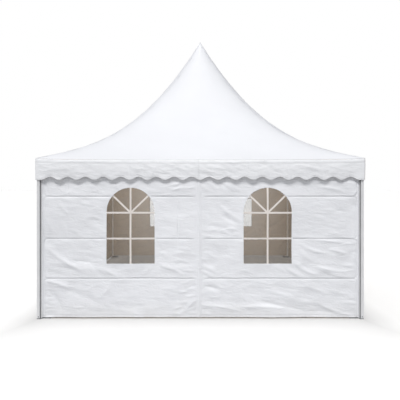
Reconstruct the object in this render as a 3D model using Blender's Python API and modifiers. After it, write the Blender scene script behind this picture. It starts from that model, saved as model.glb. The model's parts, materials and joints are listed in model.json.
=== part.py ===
"""Pagoda marquee on a square plan: four posts, four eave beams, a peaked membrane roof of four panels
on a flying mast, a scalloped valance and eight fabric wall panels with arched windows. Metres, +Z up.
The origin is on the ground in the middle of the plan, and the front looks along -Y."""

import math

import bmesh
import bpy

# Driving dimensions
PLAN = 5.0  # across the posts' outer faces
ROOF_HALF = 2.517  # from the middle to the membrane's edge
CORNER_Z = 2.463  # membrane's edge at a corner
EAVE_SAG = 0.028  # how much lower the edge lies in the middle of a side
APEX_Z = 5.13
SHEET = 0.004  # thickness of a membrane in this model
FILM = 0.002  # thickness of a window's film
GAP = 0.0003  # between pieces that touch
HANG = 0.0008  # from the membrane's nominal underside to what it bears on, as the eaves slope

# Roof: u runs from 0 at the eave to 1 at the apex
ROOF_CELLS = 28  # cells along a side of the grid
HIP_LINEAR = 0.30  # share of the rise that is even, the rest curves up
HIP_POWER = 2.55
ROUNDING = 0.8  # 0 keeps the level sections square, 1 makes them round at the apex

# Valance
VALANCE_LOW_Z = 2.129
SCALLOP_PITCH = 0.27
SCALLOP_DEPTH = 0.048
SCALLOPS = 18
SCALLOP_POINTS = 8

# Posts: a square profile with a rebate and a keder slot beside each wall
POST = 0.070
POST_TOP_Z = 2.350
REBATE_WIDTH = 0.026
REBATE_DEPTH = 0.018
SLOT_WIDTH = 0.008
SLOT_DEPTH = 0.010
PROFILE_WALL = 0.003
WALL_INSET = 0.030  # from the posts' outer face to the middle of a wall's sheet

# Walls
WALL_LOW_Z = 0.006
SEAM_X = -0.019  # where the two panels of a side meet
WINDOW_OFFSET = 1.053  # from the seam to a window's middle
WINDOW_RADIUS = 0.366
WINDOW_LOW_Z = 0.853
WINDOW_SPRING_Z = 1.639
ARCH_POINTS = 16
FILM_LAP = 0.020  # the film runs this far past the cut-out

# Eave beams and corner brackets
BEAM_WIDTH = 0.063
BEAM_HEIGHT = 0.090
BRACKET_LEG = 0.130
BRACKET_PLATE = 0.006
LUG_LENGTH = 0.050
LUG_WIDTH = 0.012

# Base plates
PLATE = 0.012
FOOT = 0.0615  # the square under a post
WING = 0.165  # the square behind the walls, with the stake holes
WING_INSET = 0.0345  # from the posts' outer face to the wing
STAKE_RADIUS = 0.010
STAKE_INSET = 0.038

# Mast, its head and the cable hub
MAST_RADIUS = 0.030
MAST_WALL = 0.004
HEAD_RADIUS = 0.050
HEAD_TIP = 0.004
HEAD_TAPER = 0.57  # the head's growth in radius for each metre down
HEAD_DROP = 0.0125  # from the apex to the head's tip
HUB_RADIUS = 0.070
HUB_LOW_Z = 2.210
HUB_HEIGHT = 0.030
HUB_SIDES = 16
SPIGOT_RADIUS = 0.0252
SPIGOT_LENGTH = 0.080
CABLE_RADIUS = 0.005
CABLE_OUTER_Z = 2.375
CABLE_GAP = 0.0006  # the ends are square to the cable, so they lie a little open

# Worked out from them
POST_FACE = PLAN / 2
POST_INNER = POST_FACE - POST
WALL_PLANE = POST_FACE - WALL_INSET
WALL_EDGE = POST_INNER + SLOT_DEPTH - 0.002
BEAM_FACE = ROOF_HALF - SHEET - GAP
BRACKET_INNER = POST_INNER + GAP
LEG_OUTER = BEAM_FACE - BEAM_WIDTH - GAP
HEAD_TOP_Z = APEX_Z - HEAD_DROP
HEAD_LOW_Z = HEAD_TOP_Z - (HEAD_RADIUS - HEAD_TIP) / HEAD_TAPER

SIDES = ("front", "right", "back", "left")
CORNERS = ("front_left", "front_right", "back_right", "back_left")


def rise(u):
    """Height of a hip over its foot, as a share of the whole rise."""
    return HIP_LINEAR * u + (1 - HIP_LINEAR) * u**HIP_POWER


def eave_drop(t):
    """How far the edge lies below its corners, at t from -1 to 1 along a side."""
    return EAVE_SAG * (1 - t * t / 2) * (1 - abs(t) ** 24)


def station(i):
    """Where point i of the grid lies along a side, closer together towards the corners."""
    return math.sin((2 * i / ROOF_CELLS - 1) * math.pi / 2)


BEAM_TOP_Z = CORNER_Z - eave_drop(0) - SHEET - HANG
BEAM_LOW_Z = BEAM_TOP_Z - BEAM_HEIGHT
BRACKET_TOP_Z = CORNER_Z - eave_drop(BRACKET_INNER / ROOF_HALF) - SHEET - HANG
WALL_TOP_Z = POST_TOP_Z - 0.0015


def material(name, colour, roughness, metallic=0.0, alpha=1.0):
    made = bpy.data.materials.new(name)
    made.use_nodes = True
    shader = made.node_tree.nodes["Principled BSDF"]
    shader.inputs["Base Color"].default_value = (*colour, 1.0)
    shader.inputs["Roughness"].default_value = roughness
    shader.inputs["Metallic"].default_value = metallic
    shader.inputs["Alpha"].default_value = alpha
    return made


def add(name, data, finish, parent=None, location=(0, 0, 0), rotation=(0, 0, 0)):
    """A named object in the marquee's collection."""
    if not data.materials:
        data.materials.append(finish)
    obj = bpy.data.objects.new(name, data)
    obj.parent = parent
    obj.location = location
    obj.rotation_euler = rotation
    bpy.data.collections["marquee_tent"].objects.link(obj)
    return obj


def plate_curve(name, loops, thickness):
    """A flat outline with its holes, as thick as given."""
    curve = bpy.data.curves.new(name, "CURVE")
    curve.dimensions = "2D"
    curve.fill_mode = "BOTH"
    curve.extrude = thickness / 2
    for loop in loops:
        spline = curve.splines.new("POLY")
        spline.points.add(len(loop) - 1)
        spline.use_cyclic_u = True
        for point, (x, y) in zip(spline.points, loop):
            point.co = (x, y, 0, 1)
    return curve


def rectangle(x0, y0, x1, y1):
    return [(x0, y0), (x1, y0), (x1, y1), (x0, y1)]


def circle(x, y, radius, sides=12):
    turns = [2 * math.pi * i / sides for i in range(sides)]
    return [(x + radius * math.cos(a), y + radius * math.sin(a)) for a in turns]


def arch(x, low, spring, radius):
    """A window's outline: a rectangle under a half circle."""
    turns = [math.pi * i / ARCH_POINTS for i in range(ARCH_POINTS + 1)]
    top = [(x + radius * math.cos(a), spring + radius * math.sin(a)) for a in turns]
    return [(x - radius, low), (x + radius, low)] + top


def turned_mesh(name, profile):
    """A closed profile of (radius, z) points turned about Z."""
    mesh = bpy.data.meshes.new(name)
    form = bmesh.new()
    points = [form.verts.new((radius, 0, z)) for radius, z in profile]
    for i in range(len(points) - 1):
        form.edges.new((points[i], points[i + 1]))
    if profile[0][0] > 0:
        form.edges.new((points[-1], points[0]))
    form.to_mesh(mesh)
    form.free()
    return mesh


def turned(name, profile, finish, steps, rotation=(0, 0, 0)):
    obj = add(name, turned_mesh(name, profile), finish, rotation=rotation)
    screw = obj.modifiers.new("turn", "SCREW")
    screw.steps = steps
    screw.render_steps = steps
    screw.use_merge_vertices = True
    screw.merge_threshold = 0.0001
    return obj


def membrane_mesh():
    """The whole membrane's outer surface, made from the rings of a square grid."""
    form = bmesh.new()
    bmesh.ops.create_grid(form, x_segments=ROOF_CELLS, y_segments=ROOF_CELLS, size=1)
    hips = [v for v in form.verts if abs(abs(v.co.x) - abs(v.co.y)) < 1e-6]
    bmesh.ops.connect_verts(form, verts=hips)
    for vertex in form.verts:
        x, y = vertex.co.x, vertex.co.y
        level = max(abs(x), abs(y))
        if level < 1e-6:
            vertex.co = (0, 0, APEX_Z)
            continue
        u = 1 - level
        across = math.sin(min(abs(x), abs(y)) / level * math.pi / 2)
        power = 2 / (ROUNDING * u) if u > 1e-6 else 1e6
        half = ROOF_HALF * level
        far = half * 2 ** (1 / power) / (1 + across**power) ** (1 / power)
        near = across * far
        drop = eave_drop(across) * level**3
        z = CORNER_Z + (APEX_Z - CORNER_Z) * rise(u) - drop
        if abs(x) >= abs(y):
            vertex.co = (math.copysign(far, x), math.copysign(near, y), z)
        else:
            vertex.co = (math.copysign(near, x), math.copysign(far, y), z)
    mesh = bpy.data.meshes.new("membrane")
    form.to_mesh(mesh)
    form.free()
    mesh.shade_smooth()
    return mesh


def roof_panel_mesh():
    """The front gore of the membrane, as thick as the sheet and cut just short of both hips."""
    whole = bpy.data.objects.new("membrane", membrane_mesh())
    bpy.context.scene.collection.objects.link(whole)
    shell = whole.modifiers.new("thickness", "SOLIDIFY")
    shell.thickness = SHEET
    shell.offset = -1
    evaluated = whole.evaluated_get(bpy.context.evaluated_depsgraph_get())
    mesh = bpy.data.meshes.new_from_object(evaluated)
    bpy.data.objects.remove(whole)
    form = bmesh.new()
    form.from_mesh(mesh)
    tip = (0, -GAP / math.sqrt(2), 0)
    for way in (-1, 1):
        everything = form.verts[:] + form.edges[:] + form.faces[:]
        cut = bmesh.ops.bisect_plane(
            form, geom=everything, plane_co=tip, plane_no=(way, 1, 0), clear_outer=True
        )
        rim = [part for part in cut["geom_cut"] if isinstance(part, bmesh.types.BMEdge)]
        bmesh.ops.holes_fill(form, edges=rim)
    form.to_mesh(mesh)
    form.free()
    return mesh


def valance_outline():
    """From the left end along the scallops to the right end, then back along the eave."""
    left, right = -ROOF_HALF, BEAM_FACE
    low = [(left, VALANCE_LOW_Z)]
    first = -SCALLOPS / 2 * SCALLOP_PITCH
    for i in range(SCALLOPS * SCALLOP_POINTS + 1):
        wave = (1 - math.cos(2 * math.pi * i / SCALLOP_POINTS)) / 2
        low.append((first + i * SCALLOP_PITCH / SCALLOP_POINTS, VALANCE_LOW_Z + SCALLOP_DEPTH * wave))
    low.append((right, VALANCE_LOW_Z))
    top = []
    for i in range(ROOF_CELLS, -1, -1):
        t = station(i)
        x = min(max(ROOF_HALF * t, left), right)
        top.append((x, CORNER_Z - eave_drop(t) - SHEET - HANG))
    return low + top


def beam_outline():
    """Section in Y and Z: a box profile with a chamber and a slot below for the wall's edge."""
    outer, inner = -BEAM_FACE, -BEAM_FACE + BEAM_WIDTH
    slot0, slot1 = -WALL_PLANE - SLOT_WIDTH / 2, -WALL_PLANE + SLOT_WIDTH / 2
    slot_top = BEAM_LOW_Z + SLOT_DEPTH
    skin = [
        (outer, BEAM_LOW_Z), (slot0, BEAM_LOW_Z), (slot0, slot_top), (slot1, slot_top),
        (slot1, BEAM_LOW_Z), (inner, BEAM_LOW_Z), (inner, BEAM_TOP_Z), (outer, BEAM_TOP_Z),
    ]
    chamber = rectangle(
        outer + PROFILE_WALL, slot_top + PROFILE_WALL, inner - PROFILE_WALL, BEAM_TOP_Z - PROFILE_WALL
    )
    return [skin, chamber]


def post_outline():
    """Section in X and Y of the front left post, measured in from its outer faces."""
    slot0, slot1 = WALL_INSET - SLOT_WIDTH / 2, WALL_INSET + SLOT_WIDTH / 2
    wide = POST - REBATE_WIDTH
    deep = POST - SLOT_DEPTH
    half = [
        (wide, 0), (wide, REBATE_DEPTH), (POST, REBATE_DEPTH), (POST, slot0),
        (deep, slot0), (deep, slot1), (POST, slot1),
    ]
    skin = [(0, 0)] + half + [(POST, POST)] + [(y, x) for x, y in reversed(half)]
    chamber = rectangle(PROFILE_WALL, PROFILE_WALL, wide - PROFILE_WALL, wide - PROFILE_WALL)
    return [[(x - POST_FACE, y - POST_FACE) for x, y in loop] for loop in (skin, chamber)]


def bracket_outline():
    """Plan of the front left bracket: a block on the post, a leg behind each beam and a lug."""
    outer, inner = -BEAM_FACE, -BRACKET_INNER
    leg0, leg1 = -LEG_OUTER, -LEG_OUTER + BRACKET_PLATE
    end = inner + BRACKET_LEG
    side = LUG_WIDTH / math.sqrt(2)
    reach = inner + LUG_LENGTH
    half = [
        (inner, outer), (inner, leg0), (end, leg0), (end, leg1), (inner, leg1),
        (inner, inner - side), (reach + side / 2, reach - side / 2),
    ]
    return [[(outer, outer)] + half + [(y, x) for x, y in reversed(half)]]


def plate_outline():
    """Plan of the front left base plate, with three stake holes."""
    outer, foot = -POST_FACE, -POST_FACE + FOOT
    near = -POST_FACE + WING_INSET
    far = near + WING
    half = [(foot, outer), (foot, near), (far, near)]
    skin = [(outer, outer)] + half + [(far, far)] + [(y, x) for x, y in reversed(half)]
    first, last = near + STAKE_INSET, far - STAKE_INSET
    places = [(last, last), (first, last), (last, first)]
    return [skin] + [circle(x, y, STAKE_RADIUS) for x, y in places]


def build_side(i, side, shapes, pvc, film, aluminium):
    """One side's roof panel, beam, valance, two wall panels and two windows, made as the front."""
    turn = bpy.data.objects.new(side + "_side", None)
    turn.rotation_euler = (0, 0, i * math.pi / 2)
    bpy.data.collections["marquee_tent"].objects.link(turn)
    upright = (math.pi / 2, 0, 0)
    add(side + "_roof_panel", shapes["roof_panel"], pvc, turn)
    add(side + "_eave_beam", shapes["beam"], aluminium, turn, rotation=(math.pi / 2, 0, math.pi / 2))
    add(side + "_valance", shapes["valance"], pvc, turn, (0, SHEET / 2 - ROOF_HALF, 0), upright)
    behind = -WALL_PLANE + SHEET / 2 + GAP + FILM / 2
    for hand in ("left", "right"):
        add(f"{side}_wall_{hand}", shapes["wall_" + hand], pvc, turn, (0, -WALL_PLANE, 0), upright)
        add(f"{side}_window_{hand}", shapes["window_" + hand], film, turn, (0, behind, 0), upright)


def build_corner(i, corner, shapes, aluminium, steel):
    """Base plate, post, bracket and tension cable of one corner, made at the front left and turned."""
    turn = bpy.data.objects.new(corner + "_corner", None)
    turn.rotation_euler = (0, 0, i * math.pi / 2)
    bpy.data.collections["marquee_tent"].objects.link(turn)
    post_low = PLATE + GAP
    add(corner + "_base_plate", shapes["plate"], steel, turn, (0, 0, PLATE / 2))
    add(corner + "_post", shapes["post"], aluminium, turn, (0, 0, (post_low + POST_TOP_Z) / 2))
    bracket_z = (POST_TOP_Z + GAP + BRACKET_TOP_Z) / 2
    add(corner + "_bracket", shapes["bracket"], steel, turn, (0, 0, bracket_z))
    add(corner + "_cable", shapes["cable"], steel, turn)


def cable_curve():
    """A taut cable from the front left bracket's lug to the hub."""
    lug = (BRACKET_INNER - LUG_LENGTH) - CABLE_GAP / math.sqrt(2)
    hub = (HUB_RADIUS * math.cos(math.pi / HUB_SIDES) + CABLE_GAP) / math.sqrt(2)
    curve = bpy.data.curves.new("cable", "CURVE")
    curve.dimensions = "3D"
    curve.bevel_depth = CABLE_RADIUS
    curve.bevel_resolution = 2
    curve.use_fill_caps = True
    spline = curve.splines.new("POLY")
    spline.points.add(1)
    spline.points[0].co = (-lug, -lug, CABLE_OUTER_Z, 1)
    spline.points[1].co = (-hub, -hub, HUB_LOW_Z + HUB_HEIGHT / 2, 1)
    return curve


def wall_loops(hand):
    """A wall panel's outline and its window's cut-out, as seen from outside."""
    way = -1 if hand == "left" else 1
    window = SEAM_X + way * WINDOW_OFFSET
    seam, edge = SEAM_X + way * GAP / 2, way * WALL_EDGE
    sheet = rectangle(min(seam, edge), WALL_LOW_Z, max(seam, edge), WALL_TOP_Z)
    return [sheet, arch(window, WINDOW_LOW_Z, WINDOW_SPRING_Z, WINDOW_RADIUS)]


def window_loop(hand):
    way = -1 if hand == "left" else 1
    window = SEAM_X + way * WINDOW_OFFSET
    return [arch(window, WINDOW_LOW_Z - FILM_LAP, WINDOW_SPRING_Z, WINDOW_RADIUS + FILM_LAP)]


def build_mast(aluminium, steel):
    """The flying mast on its hub, with the head that holds the membrane up."""
    low, high = HUB_LOW_Z + HUB_HEIGHT + GAP, HEAD_LOW_Z - GAP
    bore = MAST_RADIUS - MAST_WALL
    tube = [(MAST_RADIUS, high), (MAST_RADIUS, low), (bore, low), (bore, high)]
    turned("mast", tube, aluminium, 24)
    hub_top = HUB_LOW_Z + HUB_HEIGHT
    hub = [
        (0, hub_top + SPIGOT_LENGTH), (SPIGOT_RADIUS, hub_top + SPIGOT_LENGTH), (SPIGOT_RADIUS, hub_top),
        (HUB_RADIUS, hub_top), (HUB_RADIUS, HUB_LOW_Z), (0, HUB_LOW_Z),
    ]
    turned("cable_hub", hub, steel, HUB_SIDES, (0, 0, math.pi / HUB_SIDES))
    head = [(0, HEAD_TOP_Z), (HEAD_TIP, HEAD_TOP_Z), (HEAD_RADIUS, HEAD_LOW_Z), (0, HEAD_LOW_Z)]
    turned("mast_head", head, steel, 16)


def main():
    for obj in list(bpy.data.objects):
        bpy.data.objects.remove(obj)
    bpy.context.scene.collection.children.link(bpy.data.collections.new("marquee_tent"))
    pvc = material("white_pvc", (0.86, 0.87, 0.88), 0.45)
    film = material("clear_film", (0.62, 0.60, 0.56), 0.1, alpha=0.4)
    aluminium = material("anodised_aluminium", (0.62, 0.63, 0.65), 0.4, 1.0)
    steel = material("galvanised_steel", (0.42, 0.43, 0.44), 0.5, 1.0)

    shapes = {
        "roof_panel": roof_panel_mesh(),
        "beam": plate_curve("eave_beam", beam_outline(), 2 * (POST_INNER - GAP)),
        "valance": plate_curve("valance", [valance_outline()], SHEET),
        "post": plate_curve("post", post_outline(), POST_TOP_Z - PLATE - GAP),
        "bracket": plate_curve("bracket", bracket_outline(), BRACKET_TOP_Z - POST_TOP_Z - GAP),
        "plate": plate_curve("base_plate", plate_outline(), PLATE),
        "cable": cable_curve(),
    }
    for hand in ("left", "right"):
        shapes["wall_" + hand] = plate_curve("wall_" + hand, wall_loops(hand), SHEET)
        shapes["window_" + hand] = plate_curve("window_" + hand, window_loop(hand), FILM)

    build_mast(aluminium, steel)
    for i, side in enumerate(SIDES):
        build_side(i, side, shapes, pvc, film, aluminium)
    for i, corner in enumerate(CORNERS):
        build_corner(i, corner, shapes, aluminium, steel)


main()
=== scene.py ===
"""Finish of a pagoda marquee: its membrane roof, valances, walls, windows, fittings and stage.

The frame at the origin is the marquee's structure in metres, with its front towards -Y. Each side's
cloth is made as the front and turned. The operators can be run one by one from the sidebar."""

import json
import math

import bmesh
import bpy
import numpy as np
from bpy.props import FloatProperty, FloatVectorProperty, IntProperty, PointerProperty
from mathutils import Matrix, Vector


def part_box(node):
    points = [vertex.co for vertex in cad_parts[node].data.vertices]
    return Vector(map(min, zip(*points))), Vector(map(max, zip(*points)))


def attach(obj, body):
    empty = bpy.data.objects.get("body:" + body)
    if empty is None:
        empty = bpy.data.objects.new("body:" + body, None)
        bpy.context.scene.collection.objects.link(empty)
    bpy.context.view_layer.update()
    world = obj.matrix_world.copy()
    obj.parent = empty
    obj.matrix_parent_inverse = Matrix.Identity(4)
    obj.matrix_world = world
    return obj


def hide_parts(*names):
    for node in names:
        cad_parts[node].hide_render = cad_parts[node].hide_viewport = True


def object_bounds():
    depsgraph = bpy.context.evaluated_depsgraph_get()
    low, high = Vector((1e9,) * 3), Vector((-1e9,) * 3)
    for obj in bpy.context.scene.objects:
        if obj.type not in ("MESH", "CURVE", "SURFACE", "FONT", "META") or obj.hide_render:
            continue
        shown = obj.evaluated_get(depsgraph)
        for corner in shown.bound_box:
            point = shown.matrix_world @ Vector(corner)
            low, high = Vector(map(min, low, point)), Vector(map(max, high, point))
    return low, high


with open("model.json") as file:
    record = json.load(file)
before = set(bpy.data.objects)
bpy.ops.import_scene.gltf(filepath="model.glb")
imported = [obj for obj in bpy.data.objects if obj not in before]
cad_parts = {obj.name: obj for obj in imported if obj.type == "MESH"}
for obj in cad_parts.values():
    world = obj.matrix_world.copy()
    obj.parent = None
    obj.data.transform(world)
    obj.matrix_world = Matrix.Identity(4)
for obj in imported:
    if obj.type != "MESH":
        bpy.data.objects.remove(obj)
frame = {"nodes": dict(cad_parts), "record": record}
cad_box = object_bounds()

bl_info = {
    "name": "Pagoda marquee",
    "version": (1, 0, 0),
    "blender": (4, 5, 0),
    "location": "3D View > Sidebar > Marquee",
    "description": "Dresses a marquee's frame with its cloth, windows, fittings and stage",
    "category": "Object",
}

SIDES = ("front", "right", "back", "left")
CORNERS = ("front_left", "front_right", "back_right", "back_left")
HANDS = ("left", "right")

# Places of the frame
POST_LOW, POST_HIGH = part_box("front_left_post")
PANEL_LOW, PANEL_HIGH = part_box("front_wall_left")
FILM_LOW, FILM_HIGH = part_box("front_window_left")
VALANCE_LOW, VALANCE_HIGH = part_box("front_valance")
BEAM_LOW, BEAM_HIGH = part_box("front_eave_beam")
PLATE_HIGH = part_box("front_left_base_plate")[1]
CABLE_LOW, CABLE_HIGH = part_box("front_left_cable")
MAST_LOW, MAST_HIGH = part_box("mast")
BRACKET_LOW, BRACKET_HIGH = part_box("front_left_bracket")

GAP = 0.0003  # clearance between two pieces that lie against each other
ROOF_HALF = cad_box[1].x
POST_INNER = -POST_HIGH.x
WALL_PLANE = -(PANEL_LOW.y + PANEL_HIGH.y) / 2
WALL_EDGE = -PANEL_LOW.x
WALL_LOW_Z, WALL_TOP_Z = PANEL_LOW.z, PANEL_HIGH.z
SEAM_X = PANEL_HIGH.x + GAP / 2
FILM_LAP = 0.016  # the film runs this far past the cut-out, and half as far below it
WINDOW_RADIUS = (FILM_HIGH.x - FILM_LOW.x) / 2 - FILM_LAP
WINDOW_OFFSET = SEAM_X - (FILM_LOW.x + FILM_HIGH.x) / 2
WINDOW_LOW_Z = FILM_LOW.z + FILM_LAP / 2
WINDOW_SPRING_Z = FILM_HIGH.z - FILM_LAP - WINDOW_RADIUS

# The roof's form, as the frame has it
CORNER_Z = 2.463
EAVE_SAG = 0.028
APEX_Z = 5.13
HIP_LINEAR = 0.30  # share of the climb that is even; the rest grows towards the peak
HIP_POWER = 2.55
ROUNDING = 0.8  # how round the roof's level lines are towards the peak
SCALLOP_PITCH = 0.27
SCALLOP_DEPTH = 0.048
SCALLOPS = 18
BOTTOM_HEM = 0.045  # height of the line along a wall's bottom hem

LAYER = 0.0012  # thickness of a second layer of cloth as it is drawn: rims, tapes and laps
BAR_THICKNESS = 0.0008
FILM_GAP = 0.0008  # from the wall's inner face to the film
WELD_ROUND = 0.055  # radius of a width's corners beside a post
ROLL_WIDTH = 0.008  # from a post to where the cloth has rolled out of its groove
WINDOW_CELL = 0.024  # cell of the window film's mesh
FAN_ANGLE = math.radians(44)
SHARP = math.radians(35)

# Folds of the front wall, read off the photograph in metres:
# from x, z to x, z, then sideways bow, width and height
FOLDS = (
    # left panel
    (-2.42, 1.15, -1.78, 0.73, -0.05, 0.040, 0.033),
    (-2.16, 0.95, -1.78, 0.72, -0.02, 0.022, 0.018),
    (-2.02, 0.92, -1.53, 0.87, -0.03, 0.030, -0.026),
    (-1.75, 0.84, -1.49, 0.89, 0.01, 0.020, 0.018),
    (-1.52, 0.80, -1.24, 0.64, -0.02, 0.022, 0.022),
    (-0.77, 0.83, -0.89, 0.66, 0.02, 0.024, 0.022),
    (-1.72, 0.84, -1.56, 0.66, -0.01, 0.018, 0.015),
    (-1.58, 0.81, -1.40, 0.64, -0.01, 0.016, 0.015),
    (-2.42, 0.57, -1.98, 0.43, 0.04, 0.034, 0.034),
    (-2.37, 0.45, -2.14, 0.02, 0.06, 0.040, -0.033),
    (-2.14, 0.42, -1.53, 0.20, 0.05, 0.060, -0.022),
    (-1.38, 0.55, -1.59, 0.29, 0.03, 0.030, 0.018),
    (-2.21, 1.84, -1.99, 1.58, -0.02, 0.020, 0.018),
    (-2.37, 1.55, -2.27, 1.27, 0.01, 0.020, 0.015),
    (-1.98, 1.39, -1.84, 1.24, 0.01, 0.016, 0.018),
    (-2.14, 1.49, -2.05, 1.27, 0.01, 0.014, 0.015),
    (-1.38, 2.08, -1.24, 1.97, 0.01, 0.018, 0.022),
    (-0.92, 2.11, -1.07, 2.01, 0.01, 0.018, 0.015),
    (-2.04, 2.08, -2.04, 1.88, 0.00, 0.010, -0.015),
    (-0.34, 1.82, -0.34, 1.09, 0.00, 0.010, -0.016),
    (-0.05, 0.34, -0.34, 0.05, 0.02, 0.026, 0.029),
    (-0.62, 0.81, -0.22, 0.64, 0.03, 0.034, 0.022),
    (-0.62, 1.03, -0.49, 0.90, 0.01, 0.018, 0.018),
    (-0.68, 0.87, -0.34, 0.74, -0.02, 0.020, 0.015),
    (-0.48, 1.96, -0.05, 2.02, 0.01, 0.016, 0.015),
    (-0.43, 2.04, -0.31, 2.08, 0.00, 0.014, 0.015),
    # right panel
    (0.01, 0.95, 0.12, 0.86, 0.00, 0.012, 0.018),
    (0.01, 0.83, 0.29, 0.69, -0.01, 0.018, 0.022),
    (0.01, 0.74, 0.24, 0.64, -0.01, 0.014, 0.018),
    (0.03, 0.51, 0.32, 0.42, 0.01, 0.026, -0.026),
    (0.00, 0.20, 0.67, 0.09, 0.03, 0.024, 0.029),
    (0.24, 1.79, 0.67, 1.47, -0.02, 0.022, 0.029),
    (0.30, 1.62, 0.59, 1.45, -0.01, 0.016, -0.022),
    (0.30, 1.38, 0.48, 1.27, 0.00, 0.014, 0.018),
    (0.39, 1.38, 0.58, 1.35, 0.01, 0.014, 0.018),
    (-0.02, 2.07, 0.18, 1.93, 0.00, 0.016, 0.018),
    (0.12, 2.10, 0.30, 1.94, 0.00, 0.016, 0.018),
    (0.24, 2.10, 0.39, 1.93, 0.00, 0.016, 0.018),
    (0.33, 2.10, 0.55, 1.94, 0.00, 0.016, 0.022),
    (0.42, 2.08, 0.65, 1.93, 0.00, 0.016, 0.018),
    (1.51, 1.16, 2.00, 1.00, -0.04, 0.022, 0.029),
    (1.48, 1.10, 2.40, 0.75, -0.16, 0.034, 0.034),
    (1.42, 0.90, 1.85, 0.66, -0.05, 0.024, 0.033),
    (1.28, 0.83, 1.60, 0.63, -0.03, 0.022, 0.029),
    (1.11, 0.84, 1.31, 0.72, -0.01, 0.020, 0.018),
    (1.60, 0.94, 1.95, 0.78, -0.03, 0.026, -0.026),
    (1.80, 1.20, 2.21, 1.15, 0.01, 0.016, 0.018),
    (1.95, 1.07, 2.26, 0.98, 0.01, 0.020, 0.026),
    (1.80, 0.78, 2.29, 0.64, -0.03, 0.026, 0.022),
    (1.42, 2.07, 2.27, 2.07, 0.04, 0.024, 0.026),
    (1.80, 2.01, 2.23, 1.94, 0.02, 0.020, 0.022),
    (2.33, 1.87, 2.43, 1.99, 0.00, 0.014, 0.018),
    (0.61, 0.34, 2.41, 0.09, -0.08, 0.046, -0.034),
    (0.55, 0.17, 1.52, 0.11, 0.04, 0.032, 0.029),
    (1.80, 0.25, 2.41, 0.05, -0.05, 0.026, 0.029),
    (0.94, 0.43, 1.52, 0.28, 0.02, 0.030, 0.022),
    (1.52, 0.51, 1.98, 0.35, 0.02, 0.030, 0.015),
)

# Where puckers gather, in metres and degrees: low x, z and high x, z of the patch, how many, their
# slope and how far it strays, their shortest and longest, then their width and height
PUCKERS = (
    (-1.76, 1.29, -1.47, 1.84, 9, -12, 10, 0.16, 0.26, 0.014, 0.011),
    (-0.30, 0.64, -0.07, 1.10, 9, -10, 10, 0.20, 0.30, 0.013, 0.014),
    (-0.37, 0.05, -0.07, 0.58, 10, 8, 16, 0.14, 0.30, 0.014, 0.012),
    (0.01, 0.64, 0.21, 0.97, 6, -26, 10, 0.14, 0.28, 0.012, 0.012),
    (0.01, 0.05, 0.24, 0.58, 11, -8, 14, 0.12, 0.30, 0.012, 0.012),
    (1.95, 1.27, 2.24, 1.71, 8, -8, 8, 0.16, 0.26, 0.014, 0.011),
    (-2.42, 0.03, -2.27, 0.38, 8, 0, 10, 0.08, 0.16, 0.012, 0.011),
    (2.21, 0.78, 2.40, 1.20, 8, -3, 8, 0.08, 0.18, 0.012, 0.0086),
    (1.52, 1.27, 1.91, 1.82, 8, -6, 10, 0.10, 0.24, 0.012, 0.0053),
    (-2.39, 1.10, -1.47, 1.20, 9, -4, 10, 0.10, 0.20, 0.012, 0.008),
    (0.09, 1.26, 0.65, 1.42, 7, -10, 10, 0.12, 0.20, 0.012, 0.0086),
    (-1.78, 0.45, -1.53, 0.58, 6, 20, 8, 0.10, 0.18, 0.012, 0.0099),
    (-0.65, 1.90, -0.07, 2.08, 7, 10, 14, 0.14, 0.30, 0.012, 0.0086),
    (-1.75, 1.91, -1.56, 2.10, 5, -8, 12, 0.10, 0.16, 0.012, 0.0099),
    (1.52, 0.11, 2.32, 0.48, 14, -8, 8, 0.12, 0.30, 0.014, 0.0086),
    (0.61, 0.11, 1.52, 0.55, 12, -10, 8, 0.16, 0.40, 0.016, 0.0086),
    (-2.14, 0.05, -0.07, 0.35, 14, 8, 24, 0.16, 0.36, 0.016, 0.008),
    (-2.40, 0.05, 2.40, 2.20, 220, 0, 60, 0.08, 0.34, 0.014, 0.0039),
)

# Folds of the valance, as above
VALANCE_FOLDS = (
    (-2.47, 2.33, -1.97, 2.40, 0.02, 0.020, 0.0088),
    (-2.48, 2.25, -1.80, 2.28, 0.03, 0.026, 0.0088),
    (-1.64, 2.41, -1.29, 2.41, 0.00, 0.006, -0.0044),
    (-1.08, 2.44, -1.08, 2.15, 0.00, 0.007, -0.0066),
    (-0.86, 2.42, -0.86, 2.15, 0.00, 0.007, -0.0066),
    (-0.64, 2.43, -0.77, 2.15, 0.01, 0.012, 0.011),
    (-0.60, 2.40, -0.30, 2.30, 0.01, 0.016, 0.0088),
    (0.10, 2.35, 0.42, 2.26, 0.01, 0.016, 0.011),
    (0.05, 2.27, 0.36, 2.20, 0.01, 0.014, 0.0088),
    (0.72, 2.44, 0.72, 2.15, 0.00, 0.008, -0.0066),
    (1.07, 2.44, 1.07, 2.15, 0.00, 0.008, -0.0066),
    (1.32, 2.42, 1.32, 2.15, 0.00, 0.009, 0.0066),
    (1.31, 2.41, 2.29, 2.41, 0.00, 0.006, -0.0044),
    (1.40, 2.36, 1.90, 2.24, 0.03, 0.022, 0.011),
    (1.90, 2.38, 2.45, 2.26, -0.03, 0.026, 0.011),
)
VALANCE_PUCKERS = (
    (-2.45, 2.16, 2.45, 2.42, 90, -6, 26, 0.08, 0.34, 0.013, 0.0057),
    (-0.40, 2.16, 0.60, 2.40, 16, -18, 12, 0.10, 0.26, 0.012, 0.0078),
    (-1.50, 2.16, -0.80, 2.40, 10, 4, 30, 0.08, 0.20, 0.011, 0.0068),
)


def linear(hex_code):
    """An sRGB hex colour as linear red, green and blue."""
    parts = [int(hex_code[i : i + 2], 16) / 255 for i in (0, 2, 4)]
    return tuple(c / 12.92 if c <= 0.04045 else ((c + 0.055) / 1.055) ** 2.4 for c in parts)


def colour(name, hex_code, text):
    return FloatVectorProperty(
        name=name, description=text, default=linear(hex_code), subtype="COLOR", size=3, min=0, max=1
    )


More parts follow.
